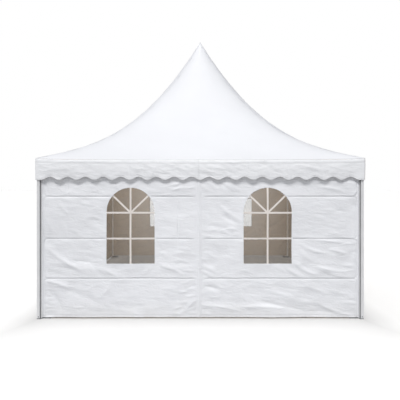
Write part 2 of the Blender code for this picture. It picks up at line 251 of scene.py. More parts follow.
def length(name, default, text):
    return FloatProperty(name=name, description=text, default=default, unit="LENGTH", precision=4)


class ClothSettings(bpy.types.PropertyGroup):
    thickness: length("Sheet thickness", 0.0024, "Thickness of the coated cloth as it is drawn")
    column: length("Column", 0.0285, "Width of the mesh cells of a wall panel")
    row: length("Row", 0.0130, "Height of the mesh cells of a wall panel, small since folds run across")
    fold_depth: FloatProperty(
        name="Fold depth", description="Multiplies the height of every fold", default=0.70, subtype="FACTOR"
    )
    pucker_depth: FloatProperty(
        name="Pucker depth", description="Multiplies the height of the scattered puckers", default=1.0,
        subtype="FACTOR",
    )
    billow: length("Billow", 0.006, "How far the walls swell and sink over about a metre")
    weld_low: length("Lower weld", 0.610, "Height of the walls' lower weld seam")
    weld_middle: length("Middle weld", 1.222, "Height of the walls' middle weld seam")
    weld_high: length("Upper weld", 1.871, "Height of the walls' upper weld seam")
    weld_depth: length("Weld depth", 0.0065, "How far the cloth draws in along a weld")
    hem: length("Hem", 0.032, "Width of the hem beside a post")
    strip_width: length("Strip width", 0.062, "Width of the strip over the joint of two panels")
    ground_gap: length("Ground gap", 0.012, "How far the bottom hem is drawn up off the ground")
    roll: length("Roll", 0.010, "How far the cloth rolls out of its groove beside a post")


class WindowSettings(bpy.types.PropertyGroup):
    bar_width: length("Bar width", 0.028, "Width of a window's welded bars")
    rim_width: length("Rim width", 0.024, "Width of the welded rim around a window")
    hub_drop: length("Hub drop", 0.015, "From the arch's spring line down to the bar that carries the fan")
    transom_drop: length("Transom drop", 0.396, "From the fan's bar to the bar below it")
    film_thickness: length("Film thickness", 0.001, "Thickness of the clear film as it is drawn")


class RoofSettings(bpy.types.PropertyGroup):
    cells: IntProperty(name="Cells", description="Mesh cells along a side of the roof", default=120)
    tape_width: length("Tape width", 0.045, "Width of the weld tapes on the hips and side middles")


class FittingSettings(bpy.types.PropertyGroup):
    bolt: length("Bolt", 0.010, "Thread diameter of the frame's bolts")
    stake_head: length("Stake head", 0.032, "Diameter of a ground stake's head")
    turnbuckle: length("Turnbuckle", 0.150, "Length of a turnbuckle's body")
    sleeve: length("Sleeve", 0.018, "Diameter of the sleeve pressed on a cable's end")


class FinishSettings(bpy.types.PropertyGroup):
    cloth: colour("Cloth", "ECEEF3", "Outside of the coated cloth")
    # painted light: the valance takes a paler tint than the walls' cloth, so that it reads brighter than
    # they do
    valance: colour("Valance", "F2F4F8", "Outside of the valance, which hangs clear of the dust")
    # painted shade: the inner face of every sheet is a darker warm grey, so that the inside of the marquee
    # looks dim
    lining: colour("Lining", "CFC4B6", "Inside of the coated cloth")
    # the walls turn in blotches towards this warmer grey over their lowest 0.3 m, so they are darker towards
    # the bottom
    low_tone: colour("Soil", "CFCCC4", "Dust that splashes up the walls")
    film: colour("Film", "CBCBCA", "Clear window film")
    bar: colour("Bar", "E8E2DE", "Strips welded on the window film")
    aluminium: colour("Aluminium", "F3F4F7", "Anodised profiles")
    zinc: colour("Zinc", "A4A7AA", "Galvanised fittings")
    rope: colour("Rope", "9A9C9F", "Steel wire rope")
    # the seals' dark grey is the rubber's own and also stands in for the shade in the posts' rebates
    rubber: colour("Rubber", "8A8A8D", "Seals in the posts' rebates")


class StageSettings(bpy.types.PropertyGroup):
    distance: length("Camera distance", 8.44, "From the camera to the middle of the plan")
    height: length("Camera height", 2.112, "Height of the camera over the ground")
    offset: length("Camera offset", -0.005, "How far the camera stands to the right of the middle")
    lens: FloatProperty(name="Lens", description="Focal length on a 36 mm sensor, in mm", default=34.97)
    shift: FloatProperty(name="Shift", description="Vertical lens shift, in frame widths", default=-0.0475)
    floor: colour("Floor", "F9F9F9", "Plain studio floor as the camera sees it")
    ground: colour("Ground", "B2B2B2", "The floor as it lights the object")
    sun: FloatProperty(name="Key light", description="Strength of the key light", default=2.70)
    fill: FloatProperty(name="Fill light", description="Power of the light in front, in watts", default=11)
    glow: FloatProperty(name="Inside light", description="Power of the light inside, in watts", default=64)
    sky: FloatProperty(name="Sky", description="Strength of the sky where it is brightest", default=0.415)


def scene_settings(context, name):
    return getattr(context.scene, "marquee_" + name)


def plug(tree, made, inputs):
    """Links a node's sockets to other sockets, or fills them with values."""
    for key, value in inputs.items():
        if isinstance(value, bpy.types.NodeSocket):
            tree.links.new(value, made.inputs[key])
        else:
            made.inputs[key].default_value = value


def node(tree, kind, inputs=None, **settings):
    """Adds one shader node, sets it, and links or fills its sockets."""
    made = tree.nodes.new(kind)
    for key, value in settings.items():
        setattr(made, key, value)
    plug(tree, made, inputs or {})
    return made


def tone_of(tint, share=1.0):
    """A colour with its alpha, darkened to a share of its light."""
    return (*[c * share for c in tint], 1)


def new_material(name):
    """An empty material with its shader and the object's own coordinates."""
    made = bpy.data.materials.new(name)
    made.use_nodes = True
    tree = made.node_tree
    tree.nodes.clear()
    shader = node(tree, "ShaderNodeBsdfPrincipled")
    node(tree, "ShaderNodeOutputMaterial", {"Surface": shader.outputs["BSDF"]})
    place = node(tree, "ShaderNodeTexCoord").outputs["Object"]
    return made, tree, shader, place


def coated_cloth(name, tint, low_tone, crumple):
    """PVC-coated polyester, 650 g a square metre: a satin skin pressed on a woven base, which creases
    where it was folded in its bag. It gives a soft sheen, fine crumples and a faint weave."""
    made, tree, shader, place = new_material(name)
    flat = node(tree, "ShaderNodeUVMap", uv_map="flat").outputs["UV"]
    clouds = node(tree, "ShaderNodeTexNoise", {"Vector": place, "Scale": 1.3, "Detail": 3.0})
    tone = node(
        tree, "ShaderNodeMapRange",
        {"Value": clouds.outputs["Fac"], "From Min": 0.3, "From Max": 0.7, "To Max": 0.16},
    )
    cloudy = node(
        tree, "ShaderNodeMix",
        {"Factor": tone.outputs[0], "A": tone_of(tint), "B": tone_of(tint, 0.86)}, data_type="RGBA",
    )
    # darker towards the bottom: the colour turns in blotches towards a warmer grey over the lowest 0.3 m of
    # a wall
    height = node(tree, "ShaderNodeSeparateXYZ", {"Vector": place}).outputs["Z"]
    low_band = node(
        tree, "ShaderNodeMapRange", {"Value": height, "From Max": 0.32, "To Min": 0.30, "To Max": 0.0}
    )
    blotches = node(tree, "ShaderNodeTexNoise", {"Vector": place, "Scale": 9.0, "Detail": 5.0})
    amount = node(
        tree, "ShaderNodeMath", {0: low_band.outputs[0], 1: blotches.outputs["Fac"]}, operation="MULTIPLY"
    )
    darkened_low = node(
        tree, "ShaderNodeMix",
        {"Factor": amount.outputs[0], "A": cloudy.outputs[2], "B": tone_of(low_tone)}, data_type="RGBA",
    )
    # darker along the weld attribute: on the walls that is painted shade just above each weld's groove, on
    # the valances and the roof it lies on the welds and hems themselves
    weld = node(tree, "ShaderNodeAttribute", attribute_name="weld").outputs["Fac"]
    pressed = node(tree, "ShaderNodeMath", {0: weld, 1: 0.8}, operation="MULTIPLY")
    skin = node(
        tree, "ShaderNodeMix",
        {"Factor": pressed.outputs[0], "A": darkened_low.outputs[2], "B": tone_of(tint, 0.82)},
        data_type="RGBA",
    )
    gloss = node(
        tree, "ShaderNodeMapRange", {"Value": blotches.outputs["Fac"], "To Min": 0.36, "To Max": 0.52}
    )
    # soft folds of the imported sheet, a network about 110 mm across
    bends = node(tree, "ShaderNodeTexNoise", {"Vector": place, "Scale": 5.0, "Detail": 2.0})
    strayed = node(
        tree, "ShaderNodeMix", {"Factor": 0.16, "A": place, "B": bends.outputs["Color"]},
        data_type="RGBA",
    )
    network = node(
        tree, "ShaderNodeTexVoronoi", {"Vector": strayed.outputs[2], "Scale": 9.0},
        feature="DISTANCE_TO_EDGE",
    )
    crease = node(
        tree, "ShaderNodeMapRange", {"Value": network.outputs["Distance"], "From Max": 0.12},
        interpolation_type="SMOOTHSTEP",
    )
    # sharper creases, about 140 mm along the sheet and 50 mm up it
    drawn = node(tree, "ShaderNodeMapping", {"Vector": flat, "Scale": (7.0, 20.0, 1.0)})
    dents = node(
        tree, "ShaderNodeTexNoise",
        {"Vector": drawn.outputs[0], "Scale": 1.0, "Detail": 2.5, "Distortion": 0.6},
    )
    off = node(tree, "ShaderNodeMath", {0: dents.outputs["Fac"], 1: 0.5}, operation="SUBTRACT")
    crumples = node(tree, "ShaderNodeMath", {0: off.outputs[0]}, operation="ABSOLUTE")
    # the threads are about 1 mm apart, drawn here at 8 mm so that they show close up
    weave = node(tree, "ShaderNodeTexWave", {"Vector": flat, "Scale": 40.0}, bands_direction="X")
    weft = node(tree, "ShaderNodeTexWave", {"Vector": flat, "Scale": 40.0}, bands_direction="Y")
    threads = node(
        tree, "ShaderNodeMath", {0: weave.outputs["Fac"], 1: weft.outputs["Fac"]}, operation="MULTIPLY"
    )
    relief = None
    for form, strength, distance in (
        (crease, 0.10 * crumple, 0.003), (crumples, 0.5 * crumple, 0.016), (threads, 0.10, 0.0004),
    ):
        below = {"Normal": relief.outputs["Normal"]} if relief else {}
        relief = node(
            tree, "ShaderNodeBump",
            {"Height": form.outputs[0], "Strength": strength, "Distance": distance, **below},
        )
    plug(tree, shader, {
        "Base Color": skin.outputs[2], "Roughness": gloss.outputs[0], "Normal": relief.outputs["Normal"],
        "IOR": 1.48,
    })
    return made


def cloth_lining(tint):
    """The inner face of the cloth, a matt warm grey darker than its outside: painted shade that lets the
    inside look dim.
    """
    made, tree, shader, place = new_material("cloth_lining")
    clouds = node(tree, "ShaderNodeTexNoise", {"Vector": place, "Scale": 2.0, "Detail": 4.0})
    tone = node(
        tree, "ShaderNodeMix",
        {"Factor": clouds.outputs["Fac"], "A": tone_of(tint), "B": tone_of(tint, 0.82)},
        data_type="RGBA",
    )
    crumples = node(tree, "ShaderNodeTexNoise", {"Vector": place, "Scale": 18.0, "Detail": 4.0})
    relief = node(
        tree, "ShaderNodeBump", {"Height": crumples.outputs["Fac"], "Strength": 0.4, "Distance": 0.010}
    )
    plug(tree, shader, {
        "Base Color": tone.outputs[2], "Normal": relief.outputs["Normal"], "Roughness": 0.62
    })
    return made


def clear_film(tint):
    """Pressed clear PVC film, 0.5 mm: see-through, a little milky, with soft waves that bend its gloss."""
    made, tree, shader, place = new_material("clear_film")
    waves = node(tree, "ShaderNodeTexNoise", {"Vector": place, "Scale": 7.0, "Detail": 2.0})
    scuffs = node(tree, "ShaderNodeTexNoise", {"Vector": place, "Scale": 60.0, "Detail": 6.0})
    relief = node(
        tree, "ShaderNodeBump", {"Height": waves.outputs["Fac"], "Strength": 0.5, "Distance": 0.012}
    )
    haze = node(
        tree, "ShaderNodeMapRange",
        {"Value": scuffs.outputs["Fac"], "From Min": 0.40, "From Max": 0.75, "To Min": 0.12, "To Max": 0.20},
    )
    # painted light and shade: the film is milkier and paler towards the middle of a side and the top, and
    # darker towards the posts and the foot
    pattern = node(tree, "ShaderNodeUVMap", uv_map="flat")
    flat = node(tree, "ShaderNodeSeparateXYZ", {"Vector": pattern.outputs["UV"]})
    aside = node(tree, "ShaderNodeMath", {0: flat.outputs["X"]}, operation="ABSOLUTE")
    inward = node(
        tree, "ShaderNodeMapRange", {"Value": aside.outputs[0], "From Min": 1.38, "From Max": 0.85}
    )
    upward = node(
        tree, "ShaderNodeMapRange",
        {"Value": flat.outputs["Y"], "From Min": 0.9, "From Max": 1.7, "To Min": 0.35},
    )
    painted_light_share = node(
        tree, "ShaderNodeMath", {0: inward.outputs[0], 1: upward.outputs[0]}, operation="MULTIPLY"
    )
    haze_and_painted_light = node(
        tree, "ShaderNodeMath", {0: painted_light_share.outputs[0], 1: 0.045, 2: haze.outputs[0]},
        operation="MULTIPLY_ADD",
    )
    painted_light_tint = node(
        tree, "ShaderNodeMix",
        {"Factor": painted_light_share.outputs[0], "A": tone_of(tint, 0.45), "B": tone_of(tint)}, data_type="RGBA",
    )
    plug(tree, shader, {
        "Base Color": painted_light_tint.outputs[2], "Normal": relief.outputs["Normal"], "Alpha": haze_and_painted_light.outputs[0],
        "Roughness": 0.16, "IOR": 1.53,
    })
    return made


def window_strip(tint):
    """Coated cloth strips welded on the film, a warm white with a fine pressed texture."""
    made, tree, shader, place = new_material("window_strip")
    grain = node(tree, "ShaderNodeTexNoise", {"Vector": place, "Scale": 90.0, "Detail": 3.0})
    tone = node(
        tree, "ShaderNodeMix",
        {"Factor": grain.outputs["Fac"], "A": tone_of(tint), "B": tone_of(tint, 0.92)}, data_type="RGBA",
    )
    relief = node(
        tree, "ShaderNodeBump", {"Height": grain.outputs["Fac"], "Strength": 0.3, "Distance": 0.001}
    )
    plug(tree, shader, {
        "Base Color": tone.outputs[2], "Normal": relief.outputs["Normal"], "Roughness": 0.45
    })
    return made


def anodised_aluminium(tint):
    """Extruded aluminium, satin anodised: bright and dull at once, with faint draw lines along it."""
    made, tree, shader, place = new_material("anodised_aluminium")
    drawn = node(tree, "ShaderNodeMapping", {"Vector": place, "Scale": (160.0, 160.0, 1.5)})
    lines = node(tree, "ShaderNodeTexNoise", {"Vector": drawn.outputs[0], "Scale": 1.0, "Detail": 4.0})
    marks = node(tree, "ShaderNodeTexNoise", {"Vector": place, "Scale": 6.0, "Detail": 5.0})
    gloss = node(
        tree, "ShaderNodeMapRange", {"Value": lines.outputs["Fac"], "To Min": 0.34, "To Max": 0.52}
    )
    tone = node(
        tree, "ShaderNodeMix",
        {"Factor": marks.outputs["Fac"], "A": tone_of(tint), "B": tone_of(tint, 0.80)}, data_type="RGBA",
    )
    relief = node(
        tree, "ShaderNodeBump", {"Height": lines.outputs["Fac"], "Strength": 0.15, "Distance": 0.0005}
    )
    plug(tree, shader, {
        "Base Color": tone.outputs[2], "Roughness": gloss.outputs[0], "Normal": relief.outputs["Normal"],
        "Metallic": 0.25,
    })
    return made


def galvanised_steel(tint):
    """Hot-dip galvanised steel: flat grey zinc crystals about 12 mm across, each with its own sheen."""
    made, tree, shader, place = new_material("galvanised_steel")
    spangle = node(tree, "ShaderNodeTexVoronoi", {"Vector": place, "Scale": 85.0})
    shade = node(tree, "ShaderNodeSeparateColor", {"Color": spangle.outputs["Color"]})
    tone = node(
        tree, "ShaderNodeMix",
        {"Factor": shade.outputs["Red"], "A": tone_of(tint), "B": tone_of(tint, 0.68)}, data_type="RGBA",
    )
    gloss = node(
        tree, "ShaderNodeMapRange", {"Value": shade.outputs["Green"], "To Min": 0.38, "To Max": 0.62}
    )
    pits = node(tree, "ShaderNodeTexNoise", {"Vector": place, "Scale": 240.0, "Detail": 3.0})
    relief = node(
        tree, "ShaderNodeBump", {"Height": pits.outputs["Fac"], "Strength": 0.2, "Distance": 0.0006}
    )
    plug(tree, shader, {
        "Base Color": tone.outputs[2], "Roughness": gloss.outputs[0], "Normal": relief.outputs["Normal"],
        "Metallic": 0.9,
    })
    return made


def wire_rope(tint):
    """Galvanised wire rope, 10 mm: strands laid round each other, so the light falls in slanted bands."""
    made, tree, shader, place = new_material("wire_rope")
    parts = node(tree, "ShaderNodeSeparateXYZ", {"Vector": place})
    along = node(tree, "ShaderNodeMath", {0: parts.outputs["X"]}, operation="ABSOLUTE")
    slanted = node(
        tree, "ShaderNodeMath", {0: parts.outputs["Z"], 1: 1.5, 2: along.outputs[0]},
        operation="MULTIPLY_ADD",
    )
    lay = node(tree, "ShaderNodeCombineXYZ", {"X": slanted.outputs[0]})
    # a strand crosses the rope's side every 12 mm
    strands = node(
        tree, "ShaderNodeTexWave", {"Vector": lay.outputs[0], "Scale": 26.0}, bands_direction="X"
    )
    relief = node(
        tree, "ShaderNodeBump", {"Height": strands.outputs["Fac"], "Strength": 0.8, "Distance": 0.002}
    )
    # painted shade: the colour is darker between the strands, as well as the bump
    tone = node(
        tree, "ShaderNodeMix",
        {"Factor": strands.outputs["Fac"], "A": tone_of(tint, 0.5), "B": tone_of(tint)},
        data_type="RGBA",
    )
    plug(tree, shader, {
        "Base Color": tone.outputs[2], "Normal": relief.outputs["Normal"], "Roughness": 0.42,
        "Metallic": 1.0,
    })
    return made


def rubber_seal(tint):
    """Extruded EPDM rubber: matt grey, bloomed a little paler in patches by weather."""
    made, tree, shader, place = new_material("rubber_seal")
    bloom = node(tree, "ShaderNodeTexNoise", {"Vector": place, "Scale": 14.0, "Detail": 4.0})
    tone = node(
        tree, "ShaderNodeMix",
        {"Factor": bloom.outputs["Fac"], "A": tone_of(tint), "B": tone_of(tint, 0.7)}, data_type="RGBA",
    )
    relief = node(
        tree, "ShaderNodeBump", {"Height": bloom.outputs["Fac"], "Strength": 0.2, "Distance": 0.001}
    )
    plug(tree, shader, {
        "Base Color": tone.outputs[2], "Normal": relief.outputs["Normal"], "Roughness": 0.72,
        "Specular IOR Level": 0.35,
    })
    return made


def studio_floor(seen, bounced):
    """A matt studio floor with a soft shade painted under and around the marquee. The camera sees it in the
    first colour, and it lights the object in the second, as duller ground outdoors does."""
    made, tree, shader, place = new_material("studio_floor")
    inner, outer = 2.45, 5.0
    parts = node(tree, "ShaderNodeSeparateXYZ", {"Vector": place})
    off_x = node(tree, "ShaderNodeMath", {0: parts.outputs["X"]}, operation="ABSOLUTE")
    off_y = node(tree, "ShaderNodeMath", {0: parts.outputs["Y"]}, operation="ABSOLUTE")
    # the painted shade clears twice as fast beside the marquee as in front of it
    beside = node(
        tree, "ShaderNodeMath", {0: off_x.outputs[0], 1: 2.0, 2: -inner}, operation="MULTIPLY_ADD"
    )
    reach = node(
        tree, "ShaderNodeMath", {0: beside.outputs[0], 1: off_y.outputs[0]}, operation="MAXIMUM"
    )
    # the painted shade is deep under the marquee, is mostly gone 1 m in front of it and ends at 2.5 m
    fade = node(
        tree, "ShaderNodeMapRange", {"Value": reach.outputs[0], "From Min": inner, "From Max": outer}
    )
    shade = node(tree, "ShaderNodeValToRGB", {"Fac": fade.outputs[0]})
    ramp = shade.color_ramp.elements
    ramp[0].position, ramp[0].color = 0.0, tone_of((1, 1, 1), 0.48)
    ramp[1].position, ramp[1].color = 1.0, tone_of((1, 1, 1))
    for position, level in ((0.02, 0.62), (0.08, 0.71), (0.18, 0.82), (0.40, 0.96)):
        ramp.new(position).color = tone_of((1, 1, 1), level)
    shaded = node(
        tree, "ShaderNodeMix", {"Factor": 1.0, "A": tone_of(seen), "B": shade.outputs["Color"]},
        data_type="RGBA", blend_type="MULTIPLY",
    )
    direct = node(tree, "ShaderNodeLightPath").outputs["Is Camera Ray"]
    tone = node(
        tree, "ShaderNodeMix", {"Factor": direct, "A": tone_of(bounced), "B": shaded.outputs[2]},
        data_type="RGBA",
    )
    plug(tree, shader, {
        "Base Color": tone.outputs[2], "Roughness": 0.9, "Specular IOR Level": 0.1,
        "Emission Color": (1, 1, 1, 1), "Emission Strength": 0.07,
    })
    return made


FINISHES = {}


def finish(name):
    """The finish of that name, made once from the colours in the sidebar."""
    if name not in FINISHES:
        hues, stage = scene_settings(bpy.context, "finish"), scene_settings(bpy.context, "stage")
        makers = {
            "wall_cloth": lambda: coated_cloth("wall_cloth", hues.cloth, hues.low_tone, 1.0),
            # painted light: the valance's cloth is the walls' cloth in a paler tint
            "valance_cloth": lambda: coated_cloth("valance_cloth", hues.valance, hues.low_tone, 1.0),
            "roof_cloth": lambda: coated_cloth("roof_cloth", hues.cloth, hues.low_tone, 0.35),
            "lining": lambda: cloth_lining(hues.lining),
            "film": lambda: clear_film(hues.film),
            "strip": lambda: window_strip(hues.bar),
            "aluminium": lambda: anodised_aluminium(hues.aluminium),
            "zinc": lambda: galvanised_steel(hues.zinc),
            "rope": lambda: wire_rope(hues.rope),
            "rubber": lambda: rubber_seal(hues.rubber),
            "floor": lambda: studio_floor(stage.floor, stage.ground),
        }
        FINISHES[name] = makers[name]()
    return FINISHES[name]


def smooth(value, low, high):
    """0 below low, 1 above high, with a soft ramp between."""
    share = np.clip((value - low) / (high - low), 0, 1)
    return share * share * (3 - 2 * share)


def ridge(distance, width):
    """1 on a line, fading to 0 within about twice the width given."""
    return np.exp(-((distance / width) ** 2))


def billow(x, z, size, seed):
    """Soft random swell with features about as wide as size, mostly from -1 to 1."""
    draw = np.random.default_rng(seed)
    waves = 14
    total = np.zeros_like(x)
    for _ in range(waves):
        turn = draw.uniform(0, 2 * np.pi)
        pitch = size * draw.uniform(0.7, 1.5)
        start = draw.uniform(0, 2 * np.pi)
        total += np.cos(2 * np.pi * (x * np.cos(turn) + z * np.sin(turn)) / pitch + start)
    return total / math.sqrt(waves)


def rumple(x, z, across, up, seed):
    """Random dents of the size given, from 0 to 1, with sharp creases where they meet."""
    lattice = np.random.default_rng(seed).uniform(-1, 1, (90, 90))
    slant = math.radians(9)
    u = (x * math.cos(slant) - z * math.sin(slant)) / across + 45
    v = (x * math.sin(slant) + z * math.cos(slant)) / up + 20
    i, j = np.floor(u).astype(int), np.floor(v).astype(int)
    s, t = smooth(u - i, 0, 1), smooth(v - j, 0, 1)
    low = lattice[i, j] * (1 - s) + lattice[i + 1, j] * s
    high = lattice[i, j + 1] * (1 - s) + lattice[i + 1, j + 1] * s
    return np.abs(low * (1 - t) + high * t)


def add_fold(total, x, z, fold):
    """Raises total along one fold: a crest on a bowed line that fades out to both ends."""
    x0, z0, x1, z1, bow, width, height = fold
    reach = 5 * width + abs(bow)
    near = (x > min(x0, x1) - reach) & (x < max(x0, x1) + reach)
    near &= (z > min(z0, z1) - reach) & (z < max(z0, z1) + reach)
    span = math.hypot(x1 - x0, z1 - z0)
    way_x, way_z = (x1 - x0) / span, (z1 - z0) / span
    off_x, off_z = x[near] - x0, z[near] - z0
    along = np.clip((off_x * way_x + off_z * way_z) / span, 0, 1)
    aside = off_z * way_x - off_x * way_z - 4 * bow * along * (1 - along)
    taper = np.sin(np.pi * along)
    flank = np.sqrt((aside / width) ** 2 + 0.04)
    total[near] += height * taper * np.exp(-flank)


def scattered(patches, seed, depth):
    """Puckers drawn at random in each patch, in the form of folds."""
    draw = np.random.default_rng(seed)
    folds = []
    for x0, z0, x1, z1, count, slope, stray, short, long, width, height in patches:
        for i in range(count):
            middle_x = draw.uniform(x0, x1)
            middle_z = z0 + (z1 - z0) * (i + draw.uniform(0.1, 0.9)) / count
            turn = math.radians(slope + stray * draw.uniform(-1, 1))
            half = draw.uniform(short, long) / 2
            dx, dz = half * math.cos(turn), half * math.sin(turn)
            tall = depth * height * draw.uniform(0.5, 1.3) * draw.choice((1, 1, 1, -1))
            bow = half * draw.uniform(-0.15, 0.15)
            broad = width * draw.uniform(0.8, 1.3)
            folds.append((middle_x - dx, middle_z - dz, middle_x + dx, middle_z + dz, bow, broad, tall))
    return folds


def arch_distance(x, z):
    """Distance from the nearer window's cut-out, below zero inside it."""
    side = np.abs(np.abs(x - SEAM_X) - WINDOW_OFFSET)
    round_part = np.hypot(side, z - WINDOW_SPRING_Z) - WINDOW_RADIUS
    over_x, over_z = side - WINDOW_RADIUS, WINDOW_LOW_Z - z
    inner = np.minimum(np.maximum(over_x, over_z), 0)
    box_part = np.hypot(np.maximum(over_x, 0), np.maximum(over_z, 0)) + inner
    return np.where(z > WINDOW_SPRING_Z, round_part, box_part)


def weld_heights(cloth):
    return [cloth.weld_low, cloth.weld_middle, cloth.weld_high]


def weld_distance(x, z, cloth):
    """Distance from the weld lines: each width of cloth is a box with round corners by the post."""
    welds = [WALL_LOW_Z - 1, *weld_heights(cloth), WALL_TOP_Z + 1]
    edge = POST_INNER - cloth.hem
    nearest = np.full_like(x, 9.0)
    for low, high in zip(welds[:-1], welds[1:]):
        half = (high - low) / 2
        off_x = np.abs(x) - (edge - WELD_ROUND)
        off_z = np.abs(z - (low + high) / 2) - (half - WELD_ROUND)
        outside = np.hypot(np.maximum(off_x, 0), np.maximum(off_z, 0))
        inside = np.minimum(np.maximum(off_x, off_z), 0)
        nearest = np.minimum(nearest, np.abs(outside + inside - WELD_ROUND))
    return nearest


class WallRelief:
    """How far the wall's cloth stands out of its plane, for any x and z of a side."""

    def __init__(self, cloth):
        self.cloth = cloth
        self.folds = list(FOLDS) + scattered(PUCKERS, 11, cloth.pucker_depth)

    def weld(self, x, z):
        """1 on a weld or hem line, 0 away from it. The welds stop short of the middle strip."""
        reach = smooth(np.abs(x - SEAM_X), 0.05, 0.13)
        hem_line = ridge(z - BOTTOM_HEM, 0.006) * 0.5
        return np.maximum(ridge(weld_distance(x, z, self.cloth), 0.012) * reach, hem_line)

    def lap(self, x, z):
        """The upper width of cloth lies over the lower one along a weld."""
        total = np.zeros_like(x)
        for weld in weld_heights(self.cloth):
            total += smooth(z, weld - 0.001, weld + 0.003) * smooth(-z, -weld - 0.036, -weld - 0.030)
        off_post = smooth(POST_INNER - 0.03 - np.abs(x), 0, 0.02)
        return total * smooth(np.abs(x - SEAM_X), 0.05, 0.09) * off_post

    def broad(self, x, z):
        """A swell about a metre wide, with a smaller one on it."""
        return self.cloth.billow * (billow(x, z, 1.1, 5) + 0.35 * billow(x, z, 0.34, 6))

    def __call__(self, x, z):
        x, z = np.asarray(x, float), np.asarray(z, float)
        fine = np.zeros_like(x)
        for fold in self.folds:
            add_fold(fine, x, z, fold)
        # sags, dents and crumples of the slack cloth, each finer than the one before
        fine -= 0.010 * rumple(x, z, 0.80, 0.34, 9) + 0.007 * rumple(x, z, 0.26, 0.11, 7)
        fine -= 0.0036 * rumple(x, z, 0.12, 0.055, 8)
        fine *= self.cloth.fold_depth * smooth(np.abs(x - SEAM_X), 0.022, 0.060)
        fine *= 1 - 0.65 * smooth(-arch_distance(x, z), -0.01, 0.05)
        total = self.broad(x, z) + fine
        # the edges are held in the posts and the beam, and lie flat at the base plates
        from_post = POST_INNER - np.abs(x)
        held = smooth(from_post, 0.0, 0.05) * smooth(BEAM_LOW.z - 0.005 - z, 0.0, 0.07)
        corner = np.maximum(np.maximum(z - PLATE_HIGH.z, -PLATE_HIGH.x - np.abs(x)), 0)
        off_plate = smooth(corner, 0.0, 0.06)
        # behind the valance's edge the cloth is stretched flat
        total *= 1 - 0.7 * smooth(z, VALANCE_LOW.z - 0.06, VALANCE_LOW.z + 0.02)
        total *= held * off_plate
        rolled = smooth(from_post, 0.0, ROLL_WIDTH) * (1 - smooth(from_post, 0.018, 0.11))
        total += self.cloth.roll * rolled * smooth(BEAM_LOW.z - 0.03 - z, 0.0, 0.06) * off_plate
        total -= self.cloth.weld_depth * self.weld(x, z) * smooth(from_post, 0.0, 0.02)
        total += LAYER * self.lap(x, z) * held
        return total


def spaced(low, high, step, marks):
    """Grid lines from low to high about a step apart, closer together around the marks."""
    even = np.linspace(low, high, max(1, round((high - low) / step)) + 1)
    close = (-0.025, -0.016, -0.009, -0.003, 0.003, 0.009, 0.016, 0.025)
    kept = [v for v in even if all(abs(v - m) > 0.030 for m in marks) or v in (low, high)]
    extra = [m + d for m in marks for d in close if low < m + d < high]
    return np.array(sorted(kept + extra))


def cloth_mesh(name, points, faces, flat, weld=None):
    """A sheet's mesh, with its flat pattern in metres as UVs and the darkening along its welds as an
    attribute, painted shade on the walls.
    """
    mesh = bpy.data.meshes.new(name)
    mesh.from_pydata(points.tolist(), [], faces)
    pattern = mesh.uv_layers.new(name="flat")
    corners = np.empty(len(mesh.loops), int)
    mesh.loops.foreach_get("vertex_index", corners)
    pattern.data.foreach_set("uv", np.asarray(flat)[corners].ravel())
    if weld is not None:
        mesh.attributes.new("weld", "FLOAT", "POINT").data.foreach_set("value", np.asarray(weld, float))
    mesh.shade_smooth()
    return mesh


def new_object(name, data):
    """An object of the scene with that mesh, light or camera."""
    made = bpy.data.objects.new(name, data)
    bpy.context.scene.collection.objects.link(made)
    return made


def add_piece(name, mesh, *finishes):
    obj = new_object(name, mesh)
    for made in finishes:
        mesh.materials.append(finish(made))
    return obj


def make_active(obj):
    bpy.ops.object.select_all(action="DESELECT")
    obj.select_set(True)
    bpy.context.view_layer.objects.active = obj


def thicken(obj, thickness, inner_slot=0):
    """Gives a sheet its thickness on its inner side."""
    make_active(obj)
    shell = obj.modifiers.new("thickness", "SOLIDIFY")
    shell.thickness = thickness
    shell.offset = -1
    shell.material_offset = inner_slot
    shell.use_rim = True
    bpy.ops.object.modifier_apply(modifier=shell.name)


def on_all_sides(front, name, replaced=None):
    """Copies a front piece to the other sides. name and replaced have {side} where the side goes."""
    made = {}
    for side, turn in turned(SIDES):
        obj = front if side == "front" else new_object(name.format(side=side), front.data.copy())
        obj.data.transform(turn)
        obj.name = obj.data.name = name.format(side=side)
        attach(obj, "root")
        if replaced:
            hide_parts(replaced.format(side=side))
        made[side] = obj
    return made


def grid_faces(columns, rows):
    """Faces of a grid whose points run column by column, seen from -Y with rows going up."""
    faces = []
    for i in range(columns - 1):
        for j in range(rows - 1):
            a = i * rows + j
            faces.append((a, a + rows, a + rows + 1, a + 1))
    return faces


